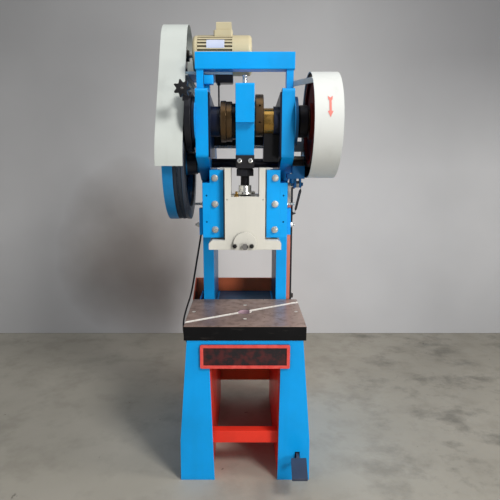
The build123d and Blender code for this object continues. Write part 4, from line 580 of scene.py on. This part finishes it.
class Shape:
    """Collects turned, hexagonal and swept parts into one mesh."""

    def __init__(self):
        self.verts = []
        self.faces = []

    def frame_of(self, origin, axis):
        axis = Vector(axis).normalized()
        side = Vector((0, 0, 1)) if abs(axis.z) < 0.9 else Vector((1, 0, 0))
        u = axis.cross(side).normalized()
        return Vector(origin), axis, u, axis.cross(u)

    def rings(self, rows):
        start = len(self.verts)
        count = len(rows[0])
        for row in rows:
            self.verts.extend(row)
        for i in range(len(rows) - 1):
            for j in range(count):
                k = (j + 1) % count
                self.faces.append((start + i * count + j, start + i * count + k,
                                   start + (i + 1) * count + k, start + (i + 1) * count + j))
        self.faces.append(tuple(start + j for j in reversed(range(count))))
        last = start + (len(rows) - 1) * count
        self.faces.append(tuple(last + j for j in range(count)))

    def turned(self, origin, axis, profile, sides=32, turn=0.0):
        """Turned round an axis; the profile gives (distance along the axis, radius)."""
        origin, axis, u, v = self.frame_of(origin, axis)
        rows = []
        for along, radius in profile:
            row = []
            for j in range(sides):
                angle = 2 * math.pi * j / sides + turn
                row.append(origin + axis * along + (u * math.cos(angle) + v * math.sin(angle)) * radius)
            rows.append(row)
        self.rings(rows)

    def hexagon(self, origin, axis, flats, height, turn=0.3, dome=0.0):
        """A hexagon head or nut with its corners turned off."""
        origin, axis, u, v = self.frame_of(origin, axis)
        rows = []
        for share in (0.0, 0.80, 1.0):
            row = []
            for j in range(24):
                angle = 2 * math.pi * j / 24
                off = (angle % (math.pi / 3)) - math.pi / 6
                radius = flats / 2 / math.cos(off) if share < 1.0 else flats / 2 * 0.985
                row.append(origin + axis * height * share
                           + (u * math.cos(angle + turn) + v * math.sin(angle + turn)) * radius)
            rows.append(row)
        if dome:
            row = []
            for j in range(24):
                angle = 2 * math.pi * j / 24
                row.append(origin + axis * (height + dome)
                           + (u * math.cos(angle + turn) + v * math.sin(angle + turn)) * flats * 0.3)
            rows.append(row)
        self.rings(rows)

    def washer(self, origin, axis, radius, thickness):
        self.turned(origin, axis, [(0, radius * 0.98), (0, radius), (thickness * 0.7, radius),
                                   (thickness, radius * 0.94), (thickness, radius * 0.4)])

    def thread(self, origin, axis, length, radius, pitch=0.00125, sides=20, tip=0.001):
        """A bolt's threaded end, as close grooves."""
        profile = [(0.0, radius)]
        turns = max(2, int(length / pitch))
        for i in range(turns):
            along = i * pitch
            profile += [(along + pitch * 0.25, radius), (along + pitch * 0.75, radius - pitch * 0.5)]
        profile += [(length - tip, radius), (length, radius - tip), (length, 0.0002)]
        self.turned(origin, axis, profile, sides)

    def tube(self, path, radius, sides=10):
        """A round tube along points; radius may be a list."""
        path = [Vector(p) for p in path]
        tangent = (path[1] - path[0]).normalized()
        u = tangent.orthogonal().normalized()
        rows = []
        for i, point in enumerate(path):
            ahead = path[min(i + 1, len(path) - 1)] - path[max(i - 1, 0)]
            step = ahead.normalized()
            u = (u - step * u.dot(step)).normalized()
            v = step.cross(u)
            size = radius[i] if isinstance(radius, (list, tuple)) else radius
            angles = [2 * math.pi * j / sides for j in range(sides)]
            rows.append([point + (u * math.cos(angle) + v * math.sin(angle)) * size for angle in angles])
        self.rings(rows)

    def box(self, low, high, bevel=0.001):
        """A block with bevelled edges."""
        bm = bmesh.new()
        bmesh.ops.create_cube(bm, size=1.0)
        low, high = Vector(low), Vector(high)
        for vert in bm.verts:
            vert.co = Vector(((low[i] + high[i]) / 2 + vert.co[i] * (high[i] - low[i]) for i in range(3)))
        if bevel:
            bmesh.ops.bevel(bm, geom=list(bm.edges), offset=bevel, segments=2, affect="EDGES", profile=0.5)
        start = len(self.verts)
        bm.verts.index_update()
        self.verts.extend(v.co.copy() for v in bm.verts)
        self.faces.extend(tuple(start + v.index for v in f.verts) for f in bm.faces)
        bm.free()

    def weld(self, a, b, size=0.0035, seed=1):
        """A fillet weld bead between two points, rippled like stacked coins."""
        a, b = Vector(a), Vector(b)
        run = b - a
        count = max(6, int(run.length / 0.0016))
        state = random.Random(seed)
        path, sizes = [], []
        for i in range(count + 1):
            t = i / count
            ripple = 0.5 + 0.5 * math.cos(2 * math.pi * i / 3.0)
            end = min(1.0, 6 * t + 0.35, 6 * (1 - t) + 0.35)
            path.append(a + run * t + Vector([state.uniform(-1, 1) * size * 0.06 for _ in range(3)]))
            sizes.append(size * end * (0.86 + 0.14 * ripple + state.uniform(-0.03, 0.03)))
        self.tube(path, sizes, sides=8)

    def make(self, name, material, body, stands_for=()):
        return piece(name, self.verts, self.faces, material, body, stands_for)


# Cable on its route, with the points of the CAD solid
cable_points = [
    (-80, 178, 1020), (-80, 218, 1020), (-100, 262, 1003), (-135, 285, 955), (-160, 300, 900),
    (-172, 312, 830), (-180, 322, 740), (-181, 324, 640), (-179, 314, 530), (-178, 304, 420),
    (-178, 296, 320), (-191, 288, 240), (-208, 300, 150), (-228, 338, 50), (-249, 385, -45),
    (-276, 425, -120), (-296, 446, -190), (-297, 450, -250), (-286, 452, -300), (-264, 452, -318),
    (-236, 452, -318),
]
curve = bpy.data.curves.new("motor_cable", "CURVE")
curve.dimensions = "3D"
spline = curve.splines.new("NURBS")
spline.points.add(len(cable_points) - 1)
for point, place in zip(spline.points, cable_points):
    point.co = (place[0] / 1000, place[1] / 1000, place[2] / 1000, 1.0)
spline.order_u = 3
spline.use_endpoint_u = True
curve.bevel_depth = 0.004
curve.bevel_resolution = 5
curve.resolution_u = 16
curve.use_fill_caps = True
curve.materials.append(cable_skin)
motor_cable = bpy.data.objects.new("motor_cable", curve)
bpy.context.collection.objects.link(motor_cable)
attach(motor_cable, "frame")
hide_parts("cable")

# Tapered strain relief at the terminal box, ribbed towards its tip, and a grommet at the stand
shape = Shape()
relief = [(0.0, 0.0040), (0.0001, 0.0082), (0.0040, 0.0084)]
for k in range(7):
    along, radius = 0.0060 + 0.0036 * k, 0.0080 - 0.00042 * k
    relief += [(along, radius), (along + 0.0020, radius - 0.0001), (along + 0.0021, radius - 0.0010),
               (along + 0.0034, radius - 0.0011)]
relief += [(0.0330, 0.0048), (0.0345, 0.0042)]
exit_point, bend_point, next_point = (Vector(cable_points[k]) / 1000 for k in range(3))
first_end = (bend_point + next_point) / 2
on_curve = []
for along, radius in relief:
    share = 0.129 + 0.514 * along / 0.0345
    on_curve.append(exit_point * (1 - share) ** 2 + bend_point * 2 * share * (1 - share)
                    + first_end * share ** 2)
shape.tube(on_curve, [radius for along, radius in relief], sides=28)
shape.make("cable_strain_relief", black_plastic, "frame")
shape = Shape()
shape.turned((-0.2372, 0.452, -0.318), (-1, 0, 0),
             [(0, 0.0041), (0, 0.0105), (0.0016, 0.0110), (0.0034, 0.0102),
              (0.0060, 0.0070), (0.0076, 0.0044)], 28)
shape.make("cable_grommet", black_plastic, "frame")

# Fasteners of the keep plates
shape = Shape()
for side in (-1, 1):
    for level in (323.0, 415.0, 507.0):
        at = Vector((side * 0.107, -0.045, level / 1000))
        shape.washer(at, (0, -1, 0), 0.0120, 0.0026)
        shape.hexagon(at + Vector((0, -0.0026, 0)), (0, -1, 0), 0.0165, 0.0072, turn=random.uniform(0, 1),
                      dome=0.0004)
        shape.turned(at, (0, 1, 0), [(0, 0.0059), (0.030, 0.0059)])
shape.make("keep_plate_bolts", zinc, "frame", stands_for=("keep_bolts",))

# Gib adjusting screws with their nuts
shape = Shape()
for side in (-1, 1):
    for level, seat in ((330.0, 170.0), (408.0, 151.0)):
        z = level / 1000
        shape.turned((side * 0.0981, 0.037, z), (side, 0, 0), [(0, 0.0046), (0.052, 0.0046)], 20)
        shape.thread((side * 0.150, 0.037, z), (side, 0, 0), 0.036, 0.0049)
        shape.hexagon((side * seat / 1000, 0.037, z), (side, 0, 0), 0.0175, 0.0085, turn=random.uniform(0, 1))
shape.make("gib_screws_threaded", zinc, "frame", stands_for=("gib_screws",))

# Pitman screw: ball, flange, ring, thread and lock nut
shape = Shape()
ball = [(0.021 * math.sin(math.pi * k / 12 - math.pi / 2), 0.021 * math.cos(math.pi * k / 12 - math.pi / 2))
        for k in range(1, 10)]
shape.turned((0, 0, 0.440), (0, 0, 1), [(-0.021, 0.0005)] + ball + [(0.019, 0.0165)], 40)
shape.thread((0, 0, 0.478), (0, 0, 1), 0.167, 0.0163, pitch=0.003, sides=40, tip=0.002)
shape.hexagon((0, 0, 0.513), (0, 0, 1), 0.0560, 0.0275, turn=0.2)
shape.make("pitman_screw", black_steel, "connecting_rod", stands_for=("ball_screw",))
shape = Shape()
shape.turned((0, 0, 0.4476), (0, 0, 1), [(0, 0.016), (0, 0.0345), (0.0015, 0.0360), (0.0085, 0.0360),
                                         (0.0104, 0.0335), (0.0104, 0.0230), (0.0305, 0.0230),
                                         (0.0322, 0.0212), (0.0324, 0.0165)], 48)
shape.make("pitman_lock_ring", bright_steel, "connecting_rod")
shape = Shape()
for k in range(6):
    angle = math.radians(60 * k + 15)
    shape.turned((0.0356 * math.cos(angle), 0.0356 * math.sin(angle), 0.4526),
                 (math.cos(angle), math.sin(angle), 0),
                 [(-0.001, 0.0028), (0.0004, 0.0028), (0.0004, 0.0004)], 12)
shape.make("lock_ring_holes", black_steel, "connecting_rod")

# Clamp bolts
shape = Shape()
for side in (-1, 1):
    at = Vector((side * 0.019, -0.040, 0.567))
    shape.turned(at, (0, 1, 0), [(0, 0.0049), (0.020, 0.0049)], 20)
    shape.turned(at, (0, -1, 0), [(0, 0.0088), (0.0012, 0.0092), (0.0045, 0.0090), (0.0066, 0.0076),
                                  (0.0072, 0.0060), (0.0072, 0.0040)], 36)
shape.make("clamp_bolt_heads", bright_steel, "connecting_rod", stands_for=("clamp_bolts",))
shape = Shape()
for side in (-1, 1):
    shape.hexagon((side * 0.019, -0.0474, 0.567), (0, 1, 0), 0.0034, 0.0008)
shape.make("clamp_bolt_sockets", black_steel, "connecting_rod")

# Star knob of the brake, with its metal centre and stem
knob_x, knob_z = -0.203, 0.798
shape = Shape()
rows = []
for along, share in ((-0.1128, 0.42), (-0.1135, 0.62), (-0.1250, 0.66), (-0.1262, 0.94), (-0.1290, 1.0),
                     (-0.1410, 1.0), (-0.1440, 0.93), (-0.1450, 0.55)):
    row = []
    for j in range(112):
        angle = 2 * math.pi * j / 112
        lobe = 0.5 + 0.5 * math.cos(7 * angle)
        radius = (0.0192 + 0.0096 * lobe ** 1.5) * share if share > 0.7 else 0.0180 * share
        row.append(Vector((knob_x + radius * math.cos(angle), along, knob_z + radius * math.sin(angle))))
    rows.append(row)
shape.rings(rows)
shape.make("brake_knob_star", black_plastic, "brake_knob", stands_for=("brake_knob",))
shape = Shape()
shape.turned((knob_x, -0.046, knob_z), (0, -1, 0), [(0, 0.0050), (0.067, 0.0050)], 20)
knob_centre = [(0, 0.0100), (0.0003, 0.0102), (0.0004, 0.0078), (0.0002, 0.0076), (0.0002, 0.0044),
               (0.0004, 0.0040), (0.0004, 0.0004)]
shape.turned((knob_x, -0.1446, knob_z), (0, -1, 0), knob_centre, 36)
shape.make("brake_knob_stem", steel, "brake_knob")

# Oil cup
shape = Shape()
shape.hexagon((0, 0, 0.823), (0, 0, 1), 0.0165, 0.005)
shape.turned((0, 0, 0.828), (0, 0, 1), [(0, 0.004), (0.005, 0.004), (0.006, 0.0078), (0.0085, 0.0082),
                                        (0.0265, 0.0082), (0.0275, 0.0088), (0.0300, 0.0088),
                                        (0.0316, 0.0070), (0.0320, 0.0020)], 36)
shape.make("oil_cup_turned", bright_steel, "connecting_rod", stands_for=("oil_cup",))

# Set screws in the bolster's tapped holes
shape = Shape()
for x, y in ((0.195, 0), (-0.195, 0), (0, 0.083), (0, -0.083)):
    shape.turned((x, y, -0.014), (0, 0, 1),
                 [(0, 0.0048), (0.0118, 0.0048), (0.0128, 0.0040), (0.0128, 0.0024),
                  (0.0090, 0.0022), (0.0090, 0.0002)], 24)
    shape.turned((x, y, -0.0006), (0, 0, 1), [(0, 0.0049), (0, 0.0072), (0.0009, 0.0070), (0.0011, 0.0064),
                                              (0.0011, 0.0050), (0.0004, 0.0049)], 28)
shape.make("bolster_set_screws", zinc, "frame")

# Return spring of the trip, with hooks
top = Vector((0.208, 0.015, 0.482))
low = Vector((0.205, 0.224, 0.351))
axis = (low - top).normalized()
side = axis.orthogonal().normalized()
other = axis.cross(side)
reach = (low - top).length
path = []
start_at, stop_at = 0.034, reach - 0.026
path += [top + axis * 0.0078, top + axis * 0.020, top + axis * 0.030]
turns = 44
for k in range(turns * 12 + 1):
    share = k / (turns * 12)
    angle = 2 * math.pi * turns * share
    swell = min(1.0, 12 * share, 12 * (1 - share))
    path.append(top + axis * (start_at + (stop_at - start_at) * share)
                + (side * math.cos(angle) + other * math.sin(angle)) * 0.0041 * swell)
path += [low - axis * 0.022, low - axis * 0.012, low - axis * 0.0045]
shape = Shape()
shape.tube(path, 0.00085, sides=7)
for centre, ring in ((top, 0.0070), (low, 0.0036)):
    loop = [centre + (axis * math.cos(a) + (Vector((1, 0, 0)).cross(axis)).normalized() * math.sin(a)) * ring
            for a in [math.radians(t) for t in range(-150, 151, 12)]]
    shape.tube(loop, 0.0009, sides=7)
mesh = bpy.data.meshes.new("trip_return_spring")
mesh.from_pydata([tuple(v) for v in shape.verts], [], shape.faces)
mesh.materials.append(black_steel)
mesh.shade_smooth()
spring = bpy.data.objects.new("trip_return_spring", mesh)
bpy.context.collection.objects.link(spring)
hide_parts("return_spring")
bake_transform(spring)

# Foot bolts of the motor
shape = Shape()
for x in (-0.150, -0.072):
    for y in (MOTOR_AXIS[0] - 0.056, MOTOR_AXIS[0] + 0.056):
        shape.washer((x, y, 0.8870), (0, 0, 1), 0.0085, 0.0018)
        shape.hexagon((x, y, 0.8888), (0, 0, 1), 0.0128, 0.0056, turn=random.uniform(0, 1))
shape.make("motor_foot_bolts", zinc, "frame")

# Blank badge on the motor's front with four rivets
motor_y, motor_z = MOTOR_AXIS
shell = 0.0713
verts, faces = [], []
for i in range(9):
    z = 0.963 + 0.031 * i / 8
    for x in (-0.139, -0.074):
        for r in (shell, shell - 0.0012):
            verts.append((x, motor_y - math.sqrt(r * r - (z - motor_z) ** 2), z))
for i in range(8):
    a, b = 4 * i, 4 * i + 4
    faces += [(a, a + 2, b + 2, b), (a + 1, b + 1, b + 3, a + 3), (a, b, b + 1, a + 1),
              (a + 2, a + 3, b + 3, b + 2)]
faces += [(0, 1, 3, 2), (32, 34, 35, 33)]
piece("motor_badge_blank", verts, faces, badge_white, "frame")
shape = Shape()
for x in (-0.1355, -0.0775):
    for z in (0.9665, 0.9905):
        y = motor_y - math.sqrt(shell ** 2 - (z - motor_z) ** 2)
        shape.turned((x, y + 0.0004, z), (0, y - motor_y, z - motor_z),
                     [(0, 0.0017), (0.0006, 0.0016), (0.0010, 0.0009), (0.0011, 0.0002)], 14)
shape.make("motor_badge_rivets", zinc, "frame")

# Lid screws of the terminal box
shape = Shape()
for x in (-0.099, -0.055):
    for y in (0.112, 0.160):
        shape.turned((x, y, 1.0585), (0, 0, 1),
                     [(0, 0.0026), (0.0018, 0.0026), (0.0024, 0.0016), (0.0024, 0.0003)], 16)
shape.make("terminal_lid_screws", zinc, "frame")

# Threaded ends and nuts of the tie rod
shape = Shape()
shape.thread((-0.185, 0.133, 0.618), (1, 0, 0), 0.370, 0.0068, pitch=0.004, sides=20)
for side in (-1, 1):
    shape.washer((side * 0.1702, 0.133, 0.618), (side, 0, 0), 0.0120, 0.0018)
    shape.hexagon((side * 0.1720, 0.133, 0.618), (side, 0, 0), 0.0205, 0.0092, turn=0.4)
shape.make("tie_rod_threaded", bright_steel, "frame", stands_for=("tie_rod",))

# Bracket block by the left post
shape = Shape()
shape.box((-0.1425, -0.018, 0.828), (-0.110, 0.016, 0.858), 0.002)
shape.make("post_bracket_block", blue, "frame")

# Weld beads
shape = Shape()
for side in (-1, 1):
    outer = side * 0.168
    shape.weld((outer, -0.0185, 0.8755), (side * 0.144, -0.0185, 0.8755), 0.0026, 3)
shape.make("weld_beads", blue, "frame")
shape = Shape()
for side in (-1, 1):
    shape.weld((side * 0.1205, -0.1205, -0.4735), (side * 0.1205, -0.1205, -0.4245), 0.0028, 5)
shape.make("crossbar_weld_beads", red, "frame")

# Stud with its nut, upright on the floor of the ram's notch
shape = Shape()
shape.washer((-0.030, -0.064, 0.4430), (0, 0, 1), 0.0092, 0.0016)
shape.hexagon((-0.030, -0.064, 0.4446), (0, 0, 1), 0.0130, 0.0080, turn=0.5)
shape.thread((-0.030, -0.064, 0.4520), (0, 0, 1), 0.0096, 0.0039)
shape.make("ram_notch_bolt", brass, "ram")

# Pale red turning arrow on the gear guard's front
def arrow_on_guard():
    """A thin arrow laid on the guard's curved front band, pointing down."""
    outline = [(-8, 34), (0, 28), (8, 34), (7, 24), (3.6, 18), (3.6, -14), (9, -14), (0, -34), (-9, -14),
               (-3.6, -14), (-3.6, 18), (-7, 24)]
    centre_x, centre_z, radius = 0.272, 0.738, 0.1822
    bm = bmesh.new()
    ring = []
    for x, z in outline:
        ring.append(bm.verts.new((centre_x + x / 1000, 0, centre_z + z / 1000)))
    bm.faces.new(ring)
    bm.normal_update()
    bmesh.ops.triangulate(bm, faces=bm.faces)
    bmesh.ops.subdivide_edges(bm, edges=list(bm.edges), cuts=5, use_grid_fill=True)
    for vert in bm.verts:
        height = vert.co.z - GEAR_GUARD_AXIS[1]
        vert.co.y = -math.sqrt(max(radius**2 - height**2, 0.0))
    mesh = bpy.data.meshes.new("turning_arrow")
    bm.to_mesh(mesh)
    bm.free()
    mesh.materials.append(enamel("arrow_paint", srgb(240, 140, 130), rough=0.45, coat=0.0, wear=0.0,
                                 grime_and_shade=0.0, mottle=0.15))
    mesh.shade_smooth()
    obj = bpy.data.objects.new("turning_arrow", mesh)
    bpy.context.collection.objects.link(obj)
    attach(obj, "frame")
    return obj


arrow_on_guard()

# Floor, backdrop and lights
def concrete():
    """Worn concrete with cloudy patches, scuffs and oil spots."""
    graph = Graph("floor_concrete")
    px, py, _ = graph.axes()
    broad = graph.noise(1.6, 5.0)
    mid = graph.noise(7.0, 6.0, shift=(3, 1, 0), rough=0.62)
    streak = graph.noise(5.0, 6.0, stretch=(0.9, 1.1, 1.0), shift=(7, 2, 0), rough=0.7)
    spots = graph.noise(26.0, 3.0, shift=(1, 9, 0))
    body = graph.mix(graph.ramp(broad, 0.3, 0.7), srgb(160, 155, 143), srgb(180, 175, 163))
    body = graph.mix(graph.math("MULTIPLY", graph.ramp(mid, 0.48, 0.70), 0.35), body, srgb(128, 123, 112))
    # Painted shade: darker towards +X.
    body = graph.mix(graph.ramp(px, 0.1, 1.1, 0.0, 0.42), body, srgb(92, 89, 82))
    right = graph.math("MULTIPLY", graph.ramp(px, 0.25, 0.9), graph.ramp(streak, 0.50, 0.66))
    body = graph.mix(graph.math("MULTIPLY", right, 0.60), body, srgb(84, 82, 76))
    body = graph.mix(graph.math("MULTIPLY", graph.ramp(spots, 0.74, 0.78), 0.65), body, srgb(58, 56, 52))
    # Painted shade: a dark line along the foot of the wall.
    body = graph.mix(graph.math("MULTIPLY", graph.band(py, WALL_Y - 0.011, WALL_Y, 0.009), 0.35), body,
                     srgb(70, 68, 64))
    return graph.shade(body, graph.ramp(mid, 0.3, 0.7, 0.55, 0.8), 0.0, graph.bump(mid, 0.15, 0.002))


def wall():
    """Pale painted wall with painted shade towards its top, its upper right and its sides, and a painted
    brown shadow of the press low on the left.
    """
    graph = Graph("backdrop_paint")
    px, _, pz = graph.axes()
    cloud = graph.noise(1.4, 4.0)
    body = graph.mix(graph.ramp(cloud, 0.3, 0.7), srgb(208, 208, 209), srgb(220, 220, 221))
    # Painted shade: darker towards the top, the upper right and both sides.
    body = graph.mix(graph.ramp(pz, 0.15, 1.7, 0.0, 0.62), body, srgb(96, 97, 100))
    corner = graph.math("MULTIPLY", graph.ramp(px, 0.5, 1.5), graph.ramp(pz, 0.5, 1.2, 0.0, 0.55))
    body = graph.mix(corner, body, srgb(84, 84, 86))
    body = graph.mix(graph.ramp(px, -0.4, -1.3, 0.0, 0.22), body, srgb(92, 90, 88))
    body = graph.mix(graph.ramp(px, 0.1, 1.3, 0.0, 0.36), body, srgb(92, 93, 96))
    # Painted shadow of the press: a ragged brown patch low on the left.
    reach = graph.math("ADD",
                       graph.math("POWER", graph.math("MULTIPLY", graph.math("ADD", px, 0.72), 2.1), 2.0),
                       graph.math("POWER", graph.math("MULTIPLY", graph.math("ADD", pz, 0.06), 1.7), 2.0))
    ragged = graph.math("ADD", reach, graph.math("MULTIPLY", graph.math("SUBTRACT", cloud, 0.5), 1.2))
    body = graph.mix(graph.ramp(ragged, 0.0, 1.15, 0.66, 0.0), body, srgb(104, 88, 74))
    material = graph.shade(body, 0.85)
    # Clear from behind, so that the press is seen from every side
    paint = graph.out.inputs[0].links[0].from_socket
    behind = graph.add("ShaderNodeNewGeometry").outputs["Backfacing"]
    clear = graph.add("ShaderNodeBsdfTransparent").outputs[0]
    mixed = graph.add("ShaderNodeMixShader", {0: behind, 1: paint, 2: clear})
    graph.tree.links.new(mixed.outputs[0], graph.out.inputs[0])
    return material


def flat(name, corners, material):
    """One flat face of the stage."""
    mesh = bpy.data.meshes.new(name)
    mesh.from_pydata(corners, [], [(0, 1, 2, 3)])
    mesh.materials.append(material)
    obj = bpy.data.objects.new(name, mesh)
    bpy.context.collection.objects.link(obj)
    return obj


floor = flat("floor", [(-6, -5, FLOOR_Z), (6, -5, FLOOR_Z), (6, 6, FLOOR_Z), (-6, 6, FLOOR_Z)], concrete())
backdrop = flat("backdrop",
                [(-6, WALL_Y, FLOOR_Z), (6, WALL_Y, FLOOR_Z), (6, WALL_Y, 4.5), (-6, WALL_Y, 4.5)], wall())

world = bpy.data.worlds.new("studio")
bpy.context.scene.world = world
world.use_nodes = True
world.node_tree.nodes["Background"].inputs[0].default_value = (0.80, 0.83, 0.88, 1.0)
world.node_tree.nodes["Background"].inputs[1].default_value = 0.21


def lamp(name, place, target, size, power, colour=(1, 1, 1)):
    data = bpy.data.lights.new(name, "AREA")
    data.shape = "RECTANGLE"
    data.size, data.size_y = size
    data.energy = power
    data.color = colour
    obj = bpy.data.objects.new(name, data)
    obj.location = place
    direction = Vector(target) - Vector(place)
    obj.rotation_euler = direction.to_track_quat("-Z", "Y").to_euler()
    bpy.context.collection.objects.link(obj)


lamp("key", (1.9, -2.3, 2.7), (0, 0, 0.2), (0.8, 0.8), 84, (1.0, 0.98, 0.95))
lamp("side", (2.3, -0.55, 1.25), (0, 0.35, 0.0), (0.7, 0.7), 24, (1.0, 0.97, 0.93))
lamp("low", (1.45, -2.5, 0.35), (-0.1, 0.2, -0.25), (0.5, 0.5), 22, (1.0, 0.97, 0.93))
lamp("fill", (-2.4, -2.2, 1.4), (0, 0, 0.2), (2.0, 2.4), 9, (0.93, 0.96, 1.0))
lamp("top", (0.2, -0.4, 3.4), (0, 0.2, 0), (2.4, 2.0), 20)
bpy.context.scene.view_settings.view_transform = "Standard"
